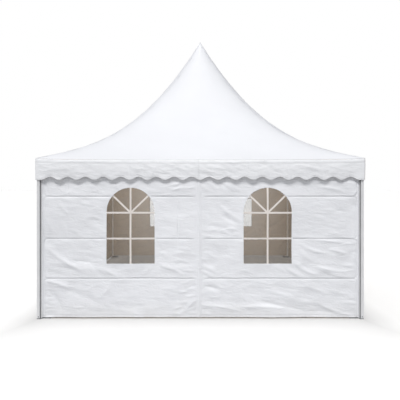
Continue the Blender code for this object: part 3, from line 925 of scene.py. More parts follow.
def wall_front(hand, relief):
    """One wall panel of the front with its arched cut-out, as an open sheet."""
    cloth = relief.cloth
    way = -1 if hand == "left" else 1
    seam, edge = SEAM_X + way * GAP / 2, way * WALL_EDGE
    hem = way * (POST_INNER - cloth.hem)
    upright = [fold[0] for fold in FOLDS if fold[0] == fold[2]]
    roll = way * (POST_INNER - ROLL_WIDTH)
    xs = spaced(min(seam, edge), max(seam, edge), cloth.column, [hem, roll] + upright)
    lines = [BOTTOM_HEM] + weld_heights(cloth)
    zs = spaced(WALL_LOW_Z + cloth.ground_gap, WALL_TOP_Z, cloth.row, lines)
    x, z = (a.ravel() for a in np.meshgrid(xs, zs, indexing="ij"))
    # points near the cut-out's line are drawn onto it
    away = arch_distance(x, z)
    step = 0.0005
    slope_x = (arch_distance(x + step, z) - arch_distance(x - step, z)) / (2 * step)
    slope_z = (arch_distance(x, z + step) - arch_distance(x, z - step)) / (2 * step)
    reach = 0.55 * np.hypot(cloth.column * slope_x, cloth.row * slope_z)
    near = np.abs(away) < reach
    x = np.where(near, x - away * slope_x, x)
    z = np.where(near, z - away * slope_z, z)
    faces = []
    for face in grid_faces(len(xs), len(zs)):
        middle_x, middle_z = x[list(face)].mean(), z[list(face)].mean()
        if arch_distance(middle_x, middle_z) > -0.001:
            faces.append(face)
    points = strip_points(x, z, relief, 0)
    # painted shade: the weld attribute's darkening is moved up to just above each groove, where the upper
    # width of cloth shades it, and mostly fades out beside the posts
    shade_share = 1 - 0.7 * smooth(np.abs(x), POST_INNER - 0.10, POST_INNER - 0.06)
    shade = relief.weld(x, z - 0.006) * shade_share
    mesh = cloth_mesh(hand, points, faces, np.column_stack([x, z]), shade)
    obj = add_piece("front_wall_" + hand, mesh, "wall_cloth", "lining")
    drop_loose_points(obj)
    return obj


def drop_loose_points(obj):
    """Removes the grid points that the cut-out has left without a face."""
    form = bmesh.new()
    form.from_mesh(obj.data)
    loose = [v for v in form.verts if not v.link_faces]
    bmesh.ops.delete(form, geom=loose, context="VERTS")
    form.to_mesh(obj.data)
    form.free()


def arch_outline(middle, grow, step):
    """Points around a window's outline, grown by grow: up the right side, over and down the left."""
    radius = WINDOW_RADIUS + grow
    low, spring = WINDOW_LOW_Z - grow, WINDOW_SPRING_Z
    upright = max(2, round((WINDOW_SPRING_Z - WINDOW_LOW_Z) / step))
    turns = max(8, round(math.pi * WINDOW_RADIUS / step))
    sill = max(2, round(2 * WINDOW_RADIUS / step))
    points = [(middle - radius + 2 * radius * i / sill, low) for i in range(sill)]
    points += [(middle + radius, low + (spring - low) * i / upright) for i in range(upright)]
    for i in range(turns):
        a = math.pi * i / turns
        points.append((middle + radius * math.cos(a), spring + radius * math.sin(a)))
    points += [(middle - radius, spring + (low - spring) * i / upright) for i in range(upright)]
    return np.array(points)


def window_middle(hand):
    return SEAM_X + (-1 if hand == "left" else 1) * WINDOW_OFFSET


def strip_points(x, z, relief, lift):
    """Points that lie on the wall's outer face, lifted off it."""
    return np.column_stack([x, -WALL_PLANE - relief.cloth.thickness / 2 - relief(x, z) - lift, z])


def loft(name, rings, closed, finish_name, thickness):
    """A strip between rings of points, thickened inwards."""
    count = len(rings[0])
    faces = []
    for r in range(len(rings) - 1):
        for i in range(count if closed else count - 1):
            j = (i + 1) % count
            faces.append((r * count + i, r * count + j, (r + 1) * count + j, (r + 1) * count + i))
    points = np.concatenate(rings)
    mesh = cloth_mesh(name, points, faces, points[:, (0, 2)])
    obj = add_piece(name, mesh, finish_name)
    form = bmesh.new()
    form.from_mesh(mesh)
    bmesh.ops.recalc_face_normals(form, faces=form.faces)
    if sum(face.normal.y for face in form.faces) > 0:
        bmesh.ops.reverse_faces(form, faces=form.faces)
    form.to_mesh(mesh)
    form.free()
    thicken(obj, thickness)
    mesh.shade_smooth()
    mesh.set_sharp_from_angle(angle=math.radians(40))
    return obj


def join(pieces, name):
    """Joins pieces into the first one."""
    bpy.ops.object.select_all(action="DESELECT")
    for piece in pieces:
        piece.select_set(True)
    bpy.context.view_layer.objects.active = pieces[0]
    bpy.ops.object.join()
    pieces[0].name = pieces[0].data.name = name
    return pieces[0]


def window_bar(start, end, width, lift, relief):
    """A welded strip in a straight line over the film, from start to end in x and z."""
    span = math.hypot(end[0] - start[0], end[1] - start[1])
    side_x, side_z = -(end[1] - start[1]) / span, (end[0] - start[0]) / span
    share = np.linspace(0, 1, max(2, round(span / 0.025)) + 1)
    rings = []
    for across in (-0.5, -0.4, 0.4, 0.5):
        x = start[0] + (end[0] - start[0]) * share + across * width * side_x
        z = start[1] + (end[1] - start[1]) * share + across * width * side_z
        rounded = 0.0004 if abs(across) == 0.5 else 0.0
        rings.append(strip_points(x, z, relief, lift - rounded))
    return loft("bar", rings, False, "strip", BAR_THICKNESS)


def window_front(hand, relief, window):
    """Film, rim and bars of one front window."""
    middle = window_middle(hand)
    # the film: a net of points that are drawn in to the arch's outline
    outer = WINDOW_RADIUS + FILM_LAP - 0.001
    low = FILM_LOW.z + 0.001
    columns = np.linspace(-1, 1, round(2 * outer / WINDOW_CELL) + 1)
    rows = np.linspace(0, 1, round((WINDOW_SPRING_Z + outer - low) / WINDOW_CELL) + 1)
    across, up = (a.ravel() for a in np.meshgrid(columns, rows, indexing="ij"))
    x = middle + outer * across
    top = WINDOW_SPRING_Z + outer * np.sqrt(np.clip(1 - across**2, 0, 1))
    z = low + (top - low) * up
    points = strip_points(x, z, relief, -(relief.cloth.thickness + FILM_GAP))
    film_mesh = cloth_mesh("film", points, grid_faces(len(columns), len(rows)), np.column_stack([x, z]))
    film = add_piece("front_window_film_" + hand, film_mesh, "film")
    thicken(film, window.film_thickness)
    # the rim's face is flat, with a rounded edge on both sides
    face, edge, wide = 0.0014, 0.0006, window.rim_width
    rings = []
    for grow, lift in ((-0.001, edge), (0.001, face), (wide - 0.004, face), (wide - 0.001, edge)):
        outline = arch_outline(middle, grow, 0.02)
        rings.append(strip_points(outline[:, 0], outline[:, 1], relief, lift))
    rim = loft("front_window_rim_" + hand, rings, True, "wall_cloth", LAYER)
    radius, drop = WINDOW_RADIUS, window.hub_drop
    hub = WINDOW_SPRING_Z - drop
    transom = hub - window.transom_drop
    # where bars cross, each lies behind the one before it
    second, third = -0.0009, -0.0018
    lines = [
        ((middle, WINDOW_LOW_Z - 0.002), (middle, WINDOW_SPRING_Z + radius), 0.0),
        ((middle - radius, hub), (middle + radius, hub), second),
        ((middle - radius, transom), (middle + radius, transom), second),
    ]
    # the fan's slanted bars run from the hub to the arch
    flat, steep = math.cos(FAN_ANGLE), math.sin(FAN_ANGLE)
    reach = math.sqrt(radius**2 - (drop * flat) ** 2) + drop * steep
    for way in (-1, 1):
        end = (middle + way * reach * flat, hub + reach * steep)
        lines.append(((middle, hub), end, third))
    bars = [window_bar(start, end, window.bar_width, lift, relief) for start, end, lift in lines]
    return film, rim, join(bars, "front_window_bars_" + hand)


def middle_strip(relief):
    """The flap over the zip between the two panels of a side."""
    z = np.linspace(WALL_LOW_Z + relief.cloth.ground_gap + 0.002, BEAM_LOW.z - 0.004, 120)
    half = relief.cloth.strip_width / 2
    # across the flap and out from the wall, with the zip's swelling in the middle
    profile = (
        (-half, 0.0012), (-half + 0.003, 0.0022), (-0.015, 0.0024), (-0.010, 0.0044), (0.0, 0.0052),
        (0.010, 0.0044), (0.015, 0.0024), (half - 0.003, 0.0022), (half, 0.0012),
    )
    rings = []
    for across, lift in profile:
        x = np.full_like(z, SEAM_X + across)
        rings.append(strip_points(x, z, relief, lift))
    return loft("front_zip_flap", rings, False, "wall_cloth", LAYER)


def eave_drop(t):
    """How far the eave sags below its corners, for t from -1 to 1 along it."""
    return EAVE_SAG * (1 - t * t / 2) * (1 - np.abs(t) ** 24)


def roof_gore(level, across):
    """The membrane over one side: its distance out, its distance along the eave, and its height.
    level runs from 0 at the peak to 1 at the eave, across from 0 at the middle to 1 at the hip."""
    u = 1 - level
    power = np.minimum(2 / np.maximum(ROUNDING * u, 1e-6), 1e4)
    far = ROOF_HALF * level * 2 ** (1 / power) / (1 + across**power) ** (1 / power)
    climb = HIP_LINEAR * u + (1 - HIP_LINEAR) * u**HIP_POWER
    return far, across * far, CORNER_Z + (APEX_Z - CORNER_Z) * climb - eave_drop(across) * level**3


def roof_points(x, y):
    """The membrane's surface over a square grid whose x and y run from -1 to 1."""
    level = np.maximum(np.abs(x), np.abs(y))
    across = np.sin(np.minimum(np.abs(x), np.abs(y)) / np.maximum(level, 1e-9) * np.pi / 2)
    far, near, z = roof_gore(level, across)
    sideways = np.abs(x) >= np.abs(y)
    px = np.where(sideways, np.copysign(far, x), np.copysign(near, x))
    py = np.where(sideways, np.copysign(near, y), np.copysign(far, y))
    return np.column_stack([px, py, z]), level


def unit_rows(x, y, z):
    """Directions of length 1, one a row."""
    rows = np.column_stack([x, y, z])
    return rows / np.linalg.norm(rows, axis=1)[:, None]


def roof_tape(offsets, on_hip, lift):
    """Rings of points down the front gore's middle or a hip, for a weld tape."""
    level = np.linspace(0.02, 0.992, 150)
    rings = []
    for offset in offsets:
        far, near, z = roof_gore(level, np.ones_like(level) if on_hip else np.zeros_like(level))
        share = np.minimum(np.abs(offset) / np.maximum(far, 0.05), 0.9)
        far, near, z = roof_gore(level, 1 - share if on_hip else share)
        if on_hip and offset > 0:
            x, y = -far, -near
        elif on_hip:
            x, y = -near, -far
        else:
            x, y = np.copysign(near, offset), -far
        # the membrane is steeper towards the peak
        steep = np.sqrt(1.5 - level)
        out = np.hypot(x, y) + 1e-6
        away = unit_rows(x / out * steep, y / out * steep, np.ones_like(z))
        rings.append(np.column_stack([x, y, z]) + away * lift)
    return rings


def roof_tapes(width):
    """Weld tapes over the joints of the membrane, down its hips and the middles of its sides."""
    half = width / 2
    tapes = []
    for on_hip in (False, True):
        rings = roof_tape((-half, -half / 2, half / 2, half), on_hip, LAYER)
        tape = loft("tape", rings, False, "roof_cloth", LAYER)
        for side, turn in turned(SIDES):
            copy = tape if side == SIDES[-1] else new_object("tape", tape.data.copy())
            copy.data.transform(turn)
            tapes.append(copy)
    return join(tapes, "roof_weld_tapes")


def roof_sheet(name, cells):
    """The whole membrane as an open sheet."""
    line = np.linspace(-1, 1, cells + 1)
    x, y = (a.ravel() for a in np.meshgrid(line, line, indexing="ij"))
    points, level = roof_points(x, y)
    # cells on the hips are split along them
    on_hip = np.abs(np.abs(x) - np.abs(y)) < 1e-6
    faces = []
    for a, b, c, d in grid_faces(cells + 1, cells + 1):
        if on_hip[a] and on_hip[c]:
            faces += [(a, b, c), (a, c, d)]
        elif on_hip[b] and on_hip[d]:
            faces += [(a, b, d), (b, c, d)]
        else:
            faces.append((a, b, c, d))
    out = np.sqrt(points[:, 0] ** 2 + points[:, 1] ** 2)
    away = unit_rows(points[:, 0], points[:, 1], np.maximum(out, 1e-6))
    points = points + away * roof_relief(points, level)[:, None]
    # the hem along the eave
    weld = smooth(level, 0.988, 0.990)
    mesh = cloth_mesh(name, points, faces, points[:, :2], weld)
    return add_piece(name, mesh, "roof_cloth", "lining")


def roof_relief(points, level):
    """Small creases of the stretched membrane, none at its edge, sunk by the height of the largest."""
    x, y, z = points.T
    crease = 0.0016
    drawn = crease * billow(x + y, z, 0.5, 21) + 0.0008 * billow(x, y, 0.16, 22)
    held = smooth(1 - level, 0.0, 0.04) * smooth(level, 0.02, 0.10)
    return drawn * held - crease


def valance_front(cloth):
    """The front valance as an open sheet, from the eave to its scalloped edge."""
    left, right = VALANCE_LOW.x + 0.0004, VALANCE_HIGH.x - 0.0004
    xs = np.linspace(left, right, 330)
    heights = np.array([0, 0.025, 0.05, 0.075, *np.linspace(0.10, 0.92, 20), 0.96, 1.0])
    x, share = (a.ravel() for a in np.meshgrid(xs, heights, indexing="ij"))
    top = CORNER_Z - eave_drop(x / ROOF_HALF) - 0.0052
    first = -SCALLOPS / 2 * SCALLOP_PITCH
    wave = (1 - np.cos(2 * np.pi * (x - first) / SCALLOP_PITCH)) / 2
    wave = np.where(np.abs(x) < -first, wave, 0)
    low = VALANCE_LOW.z + SCALLOP_DEPTH * wave
    z = low + (top - low) * share
    drop = 1 - share
    fine = np.zeros_like(x)
    for fold in list(VALANCE_FOLDS) + scattered(VALANCE_PUCKERS, 31, cloth.pucker_depth):
        add_fold(fine, x, z, fold)
    fine -= 0.006 * rumple(x, z, 0.22, 0.10, 35) + 0.003 * rumple(x, z, 0.10, 0.05, 36)
    fine += 0.004 * billow(x, z, 0.5, 33) * smooth(drop, 0.1, 0.8)
    fine += 0.004 * billow(x, z * 0, 0.3, 34) * smooth(drop, 0.8, 1.0)
    inner = np.minimum(right - x, x - left)
    relief = (0.008 + fine * cloth.fold_depth) * smooth(drop, 0.0, 0.12) * smooth(inner, 0.0, 0.05)
    # it hangs in towards the wall below the beam, less so in front of the posts
    reach = 0.004 + 0.008 * smooth(WALL_EDGE - np.abs(x), 0.0, 0.16)
    tuck = reach * smooth(BEAM_LOW.z - 0.01 - z, 0.0, BEAM_LOW.z - 0.01 - VALANCE_LOW.z)
    # welds: under the eave, along the scallops and at the joint of two widths near the middle
    head = ridge(top - z - 0.05, 0.009)
    bind = ridge(z - low - 0.016, 0.007)
    middle = ridge(x + 0.03, 0.010)
    weld = np.maximum(np.maximum(head, bind * 0.6), middle * 0.8)
    relief -= 0.0030 * weld
    inward = np.where(z > BEAM_LOW.z - 0.01, 0.0, reach)
    y = VALANCE_LOW.y + 0.0006 - np.clip(relief - tuck, -inward, 0.016)
    points, faces = np.column_stack([x, y, z]), grid_faces(len(xs), len(heights))
    mesh = cloth_mesh("valance", points, faces, np.column_stack([x, z]), weld)
    obj = add_piece("front_valance_sheet", mesh, "valance_cloth", "lining")
    thicken(obj, cloth.thickness, 1)
    return obj


def start_solid(adder, name, **settings):
    """Adds a primitive with nothing else selected and opens it in edit mode."""
    bpy.ops.object.select_all(action="DESELECT")
    adder(**settings)
    solid = bpy.context.active_object
    solid.name = solid.data.name = name
    bpy.ops.object.transform_apply(location=True, rotation=True, scale=True)
    bpy.ops.object.mode_set(mode="EDIT")
    bpy.ops.mesh.select_mode(type="FACE")
    return solid


def start_round(name, sides, radius, tall, middle_z=0.0, **settings):
    """Starts a cylinder or prism whose middle is on the z axis."""
    return start_solid(
        bpy.ops.mesh.primitive_cylinder_add, name, vertices=sides, radius=radius, depth=tall,
        location=(0, 0, middle_z), **settings,
    )


def start_block(name, size, middle):
    """Starts a box of the size given around its middle."""
    return start_solid(bpy.ops.mesh.primitive_cube_add, name, size=1, location=middle, scale=size)


def on_top(middle, normal):
    return normal.z > 0.9


def on_ends(middle, normal):
    return abs(normal.z) > 0.9


def pick(solid, wanted):
    """Selects the faces whose middle and normal are wanted, and no others."""
    bpy.ops.mesh.select_all(action="DESELECT")
    form = bmesh.from_edit_mesh(solid.data)
    for face in form.faces:
        face.select_set(bool(wanted(face.calc_center_median(), face.normal)))
    form.select_flush_mode()
    bmesh.update_edit_mesh(solid.data)


def push(x, y, z):
    bpy.ops.mesh.extrude_region_move(TRANSFORM_OT_translate={"value": (x, y, z)})


def end_solid(solid, finish_name, bevel):
    """Rounds the edges, shades the solid and gives it its finish."""
    bpy.ops.object.mode_set(mode="OBJECT")
    make_active(solid)
    rounding = solid.modifiers.new("rounding", "BEVEL")
    rounding.width = bevel
    rounding.segments = 2
    rounding.limit_method = "ANGLE"
    rounding.angle_limit = SHARP
    bpy.ops.object.modifier_apply(modifier=rounding.name)
    bpy.ops.object.mode_set(mode="EDIT")
    bpy.ops.mesh.select_all(action="SELECT")
    bpy.ops.mesh.remove_doubles(threshold=0.00002)
    bpy.ops.mesh.normals_make_consistent(inside=False)
    bpy.ops.object.mode_set(mode="OBJECT")
    bpy.ops.object.shade_smooth_by_angle(angle=SHARP)
    solid.data.materials.clear()
    solid.data.materials.append(finish(finish_name))
    return solid


def hex_bolt(size):
    """A hexagon head on a washer, standing on z = 0 and pointing up."""
    washer = start_round("bolt", 24, size, 0.15 * size, 0.075 * size)
    pick(washer, on_top)
    bpy.ops.mesh.inset(thickness=0.14 * size)
    end_solid(washer, "zinc", 0.04 * size)
    head = start_round("head", 6, 0.9 * size, 0.62 * size, 0.44 * size)
    for thickness, rise in ((0.10, 0.06), (0.28, -0.05)):
        pick(head, on_top)
        bpy.ops.mesh.inset(thickness=thickness * size)
        bpy.ops.transform.translate(value=(0, 0, rise * size))
    end_solid(head, "zinc", 0.03 * size)
    return join([washer, head], "bolt")


def stake_head(width):
    """The head of a ground stake over its hole, with the top of the shank in the hole."""
    solid = start_round("stake", 20, 0.28 * width, 0.010, -0.005)
    pick(solid, on_top)
    push(0, 0, 0)
    bpy.ops.transform.resize(value=(1.8, 1.8, 1))
    push(0, 0, 0.18 * width)
    push(0, 0, 0.14 * width)
    bpy.ops.transform.resize(value=(0.62, 0.62, 1))
    return end_solid(solid, "zinc", 0.0012)


def track_seal(tall):
    """A rubber profile along the step of a post's rebate: a strip with rounded edges and a sunk
    middle. It stands on z = 0 with its back on y = 0."""
    wide, deep = 0.0140, 0.005
    solid = start_block("track_seal", (wide, deep, tall), (0, -deep / 2, tall / 2))
    pick(solid, lambda middle, normal: normal.y < -0.9)
    bpy.ops.mesh.inset(thickness=0.004)
    push(0, 0.0025, 0)
    return end_solid(solid, "rubber", 0.0012)


def turnbuckle(size, sleeve):
    """An open turnbuckle body with an eye bolt's nut at each end, along z and centred on 0."""
    solid = start_round("turnbuckle", 12, 0.85 * sleeve, size)
    pick(solid, lambda middle, normal: abs(normal.z) < 0.5)
    bpy.ops.mesh.subdivide(number_cuts=2)
    pick(solid, lambda middle, normal: abs(normal.x) > 0.9 and abs(middle.z) < size / 6)
    bpy.ops.transform.resize(value=(1, 1, 1.9))
    bpy.ops.mesh.inset(thickness=0.0012)
    pick(solid, lambda middle, normal: abs(normal.x) > 0.9 and abs(middle.z) < size / 8)
    bpy.ops.transform.resize(value=(0.62, 1, 1))
    pick(solid, on_ends)
    bpy.ops.mesh.inset(thickness=0.004)
    bpy.ops.transform.resize(value=(1, 1, 1.06))
    parts = [end_solid(solid, "zinc", 0.0008)]
    for way in (-1, 1):
        nut = start_round("nut", 6, 0.80 * sleeve, 0.010, way * (size / 2 + 0.016))
        pick(nut, on_ends)
        bpy.ops.mesh.inset(thickness=0.0012)
        parts.append(end_solid(nut, "zinc", 0.0006))
    return join(parts, "turnbuckle")


def cable_end(sleeve):
    """A fork on a pressed sleeve: it grips a lug at z = 0 and the cable leaves it upwards."""
    body = start_round("sleeve", 20, sleeve / 2, 0.070, 0.055)
    pick(body, on_top)
    push(0, 0, 0.012)
    bpy.ops.transform.resize(value=(0.68, 0.68, 1))
    parts = [end_solid(body, "zinc", 0.001)]
    for way in (-1, 1):
        cheek = start_block("cheek", (0.022, 0.005, 0.056), (0, way * 0.0092, 0.0))
        pick(cheek, on_top)
        push(0, -way * 0.0046, 0.012)
        parts.append(end_solid(cheek, "zinc", 0.0012))
    pin = start_round("pin", 16, 0.0055, 0.034, -0.014, rotation=(math.pi / 2, 0, 0))
    pick(pin, lambda middle, normal: abs(normal.y) > 0.9)
    bpy.ops.mesh.inset(thickness=0.0012)
    parts.append(end_solid(pin, "zinc", 0.0006))
    return join(parts, "cable_end")


def hub_sleeve(sleeve):
    """A pressed stud with its nut against the hub: the hub's face is z = 0, the cable leaves upwards."""
    nut = start_round("nut", 6, 0.72 * sleeve, 0.009, 0.0055)
    pick(nut, on_top)
    bpy.ops.mesh.inset(thickness=0.0015)
    end_solid(nut, "zinc", 0.0006)
    stud = start_round("stud", 20, 0.42 * sleeve, 0.016, 0.017)
    pick(stud, on_top)
    push(0, 0, 0.0)
    bpy.ops.transform.resize(value=(1.2, 1.2, 1))
    push(0, 0, 0.060)
    push(0, 0, 0.008)
    bpy.ops.transform.resize(value=(0.7, 0.7, 1))
    return join([end_solid(stud, "zinc", 0.0008), nut], "hub_sleeve")


def collar(radius, height):
    """A split clamp ring around the mast, standing on z = 0."""
    ring = start_round("collar", 32, radius + 0.006, height, height / 2)
    pick(ring, on_ends)
    bpy.ops.mesh.inset(thickness=0.0055)
    bpy.ops.mesh.delete(type="FACE")
    bpy.ops.mesh.select_mode(type="EDGE")
    bpy.ops.mesh.select_non_manifold()
    bpy.ops.mesh.bridge_edge_loops()
    bpy.ops.mesh.select_mode(type="FACE")
    parts = [end_solid(ring, "zinc", 0.0010)]
    for way in (-1, 1):
        ear = start_block(
            "ear", (0.020, 0.012, height * 0.9), (way * (radius + 0.014), 0, height / 2)
        )
        pick(ear, lambda middle, normal: abs(normal.x) > 0.9)
        bpy.ops.mesh.inset(thickness=0.002)
        parts.append(end_solid(ear, "zinc", 0.0012))
    return join(parts, "collar")


def put_copies(master, names_and_places):
    """Copies a solid to each named place, each copy with its own mesh, and drops the master."""
    for name, place in names_and_places:
        mesh = master.data.copy()
        mesh.name = name
        mesh.transform(place)
        obj = new_object(name, mesh)
        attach(obj, "root")
    bpy.data.objects.remove(master)


def facing(direction):
    """A turn that brings +Z to the direction given."""
    return Vector((0, 0, 1)).rotation_difference(Vector(direction)).to_matrix().to_4x4()


def turned(names):
    """Each of four names, of sides or of corners, with its turn from the first."""
    return [(name, Matrix.Rotation(i * math.pi / 2, 4, "Z")) for i, name in enumerate(names)]


def add_light(name, kind, power, direction, place=(0, 0, 0)):
    """Adds a light that shines from the direction given."""
    light = new_object(name, bpy.data.lights.new(name, kind))
    light.data.energy = power
    light.rotation_euler = facing(direction).to_euler()
    light.location = place
    return light


class MARQUEE_OT_roof(bpy.types.Operator):
    """Adds the membrane roof and the weld tapes over its joints"""

    bl_idname = "marquee.roof"
    bl_label = "Roof membrane"

    def execute(self, context):
        cloth, roof = scene_settings(context, "cloth"), scene_settings(context, "roof")
        sheet = roof_sheet("roof_membrane", roof.cells)
        thicken(sheet, cloth.thickness, 1)
        tapes = roof_tapes(roof.tape_width)
        for piece in (sheet, tapes):
            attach(piece, "root")
        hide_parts(*[side + "_roof_panel" for side in SIDES])
        return {"FINISHED"}


class MARQUEE_OT_valances(bpy.types.Operator):
    """Adds the four scalloped valances under the eaves"""

    bl_idname = "marquee.valances"
    bl_label = "Valances"

    def execute(self, context):
        front = valance_front(scene_settings(context, "cloth"))
        pieces = on_all_sides(front, "{side}_valance_sheet", "{side}_valance")
        return {"FINISHED"}


class MARQUEE_OT_walls(bpy.types.Operator):
    """Adds the eight wall panels with their windows and the flaps over their zips"""

    bl_idname = "marquee.walls"
    bl_label = "Walls and windows"

    def execute(self, context):
        cloth, window = scene_settings(context, "cloth"), scene_settings(context, "window")
        relief = WallRelief(cloth)
        flaps = on_all_sides(middle_strip(relief), "{side}_zip_flap")
        for hand in HANDS:
            wall = wall_front(hand, relief)
            thicken(wall, cloth.thickness, 1)
            walls = on_all_sides(wall, "{side}_wall_sheet_" + hand, "{side}_wall_" + hand)
            film, rim, bars = window_front(hand, relief, window)
            films = on_all_sides(film, "{side}_window_film_" + hand, "{side}_window_" + hand)
            rims = on_all_sides(rim, "{side}_window_rim_" + hand)
            bars = on_all_sides(bars, "{side}_window_bars_" + hand)
        return {"FINISHED"}


class MARQUEE_OT_ground_fittings(bpy.types.Operator):
    """Adds the stakes in the base plates and the bolts at the foot of each post"""

    bl_idname = "marquee.ground_fittings"
    bl_label = "Ground fittings"

    def execute(self, context):
        fittings = scene_settings(context, "fittings")
        # a plate's wing is a square, with holes at all its corners but the one by the post
        wing, inset = 0.165, 0.038
        last = PLATE_HIGH.x - inset
        first = PLATE_HIGH.x - wing + inset
        stakes = []
        for corner, turn in turned(CORNERS):
            for i, (x, y) in enumerate(((last, last), (first, last), (last, first))):
                place = turn @ Matrix.Translation((x, y, PLATE_HIGH.z + GAP))
                stakes.append((f"{corner}_stake_{i + 1}", place))
        put_copies(stake_head(fittings.stake_head), stakes)
        foot_z = 0.034
        middle = (POST_LOW.x + POST_HIGH.x) / 2 - 0.010
        bolts = []
        for corner, turn in turned(CORNERS):
            front = Matrix.Translation((middle, POST_LOW.y, foot_z)) @ facing((0, -1, 0))
            side = Matrix.Translation((POST_LOW.x, middle, foot_z)) @ facing((-1, 0, 0))
            bolts += [(corner + "_foot_bolt_1", turn @ front), (corner + "_foot_bolt_2", turn @ side)]
        put_copies(hex_bolt(fittings.bolt * 0.8), bolts)
        return {"FINISHED"}


class MARQUEE_OT_seals(bpy.types.Operator):
    """Adds the rubber seals in the rebates of the posts, two on each side"""

    bl_idname = "marquee.seals"
    bl_label = "Post seals"

    def execute(self, context):
        rebate_width, rebate_depth = 0.026, 0.018
        half_seal, end_gap = 0.0075, 0.003
        aside = POST_INNER + rebate_width - half_seal
        back = POST_LOW.y + rebate_depth - GAP
        seals = []
        for side, turn in turned(SIDES):
            for hand, way in zip(HANDS, (-1, 1)):
                place = turn @ Matrix.Translation((way * aside, back, POST_LOW.z + end_gap))
                seals.append((f"{side}_{hand}_track_seal", place))
        # the dark seals also stand in for the shade in the rebates of the posts
        put_copies(track_seal(POST_HIGH.z - POST_LOW.z - 2 * end_gap), seals)
        return {"FINISHED"}


class MARQUEE_OT_eave_fittings(bpy.types.Operator):
    """Adds the bolts that hold the corner brackets to the eave beams"""

    bl_idname = "marquee.eave_fittings"
    bl_label = "Eave fittings"

    def execute(self, context):
        fittings = scene_settings(context, "fittings")
        plate = 0.006
        face = BEAM_HIGH.y + GAP + plate
        level = (BRACKET_LOW.z + BRACKET_HIGH.z) / 2
        bolts = []
        for corner, turn in turned(CORNERS):
            for i, back in enumerate((0.030, 0.090)):
                along = BRACKET_HIGH.x - back
                front = Matrix.Translation((along, face, level)) @ facing((0, 1, 0))
                side = Matrix.Translation((face, along, level)) @ facing((1, 0, 0))
                bolts.append((f"{corner}_bracket_bolt_{2 * i + 1}", turn @ front))
                bolts.append((f"{corner}_bracket_bolt_{2 * i + 2}", turn @ side))
        put_copies(hex_bolt(fittings.bolt), bolts)
        return {"FINISHED"}


class MARQUEE_OT_rigging(bpy.types.Operator):
    """Adds the forks and turnbuckles of the tension cables and the mast's clamps"""

    bl_idname = "marquee.rigging"
    bl_label = "Rigging"

    def execute(self, context):
        fittings = scene_settings(context, "fittings")
        # the ends of the cable's middle line, from its box and its radius
        rope = 0.005
        outer = Vector((CABLE_LOW.x + rope / 2, CABLE_LOW.y + rope / 2, CABLE_HIGH.z - rope))
        inner = Vector((CABLE_HIGH.x - rope / 2, CABLE_HIGH.y - rope / 2, CABLE_LOW.z + rope))
        run = (inner - outer).normalized()
        lay = facing(run)
        # the fork's cheeks stand on both sides of the upright lug
        level = (lay.to_3x3().inverted() @ Vector((1, -1, 0))).normalized()
        lay = lay @ Matrix.Rotation(math.atan2(level.y, level.x) - math.pi / 2, 4, "Z")
        forks, bodies, ends = [], [], []
        for corner, turn in turned(CORNERS):
            forks.append((corner + "_cable_fork", turn @ Matrix.Translation(outer) @ lay))
            bodies.append((corner + "_turnbuckle", turn @ Matrix.Translation(outer + 0.34 * run) @ lay))
            ends.append((corner + "_hub_sleeve", turn @ Matrix.Translation(inner) @ facing(-run)))
        put_copies(cable_end(fittings.sleeve), forks)
        put_copies(turnbuckle(fittings.turnbuckle, fittings.sleeve), bodies)
        put_copies(hub_sleeve(fittings.sleeve), ends)
        clamps = [
            ("mast_foot_clamp", Matrix.Translation((0, 0, MAST_LOW.z + 0.010))),
            ("mast_head_clamp", Matrix.Translation((0, 0, MAST_HIGH.z - 0.060))),
        ]
        put_copies(collar(MAST_HIGH.x, 0.032), clamps)
        return {"FINISHED"}


class MARQUEE_OT_metalwork(bpy.types.Operator):
    """Gives the frame's posts, beams, plates, brackets and cables their finishes"""

    bl_idname = "marquee.metalwork"
    bl_label = "Metal finishes"

    def execute(self, context):
        kinds = {
            "anodised_aluminium": "aluminium",
            "galvanised_steel": "zinc",
            "steel_cable": "rope",
        }
        for part in frame["record"]["subparts"]:
            kind = kinds.get(part["material_slot"])
            if kind:
                materials = frame["nodes"][part["node"]].data.materials
                materials.clear()
                materials.append(finish(kind))
        return {"FINISHED"}


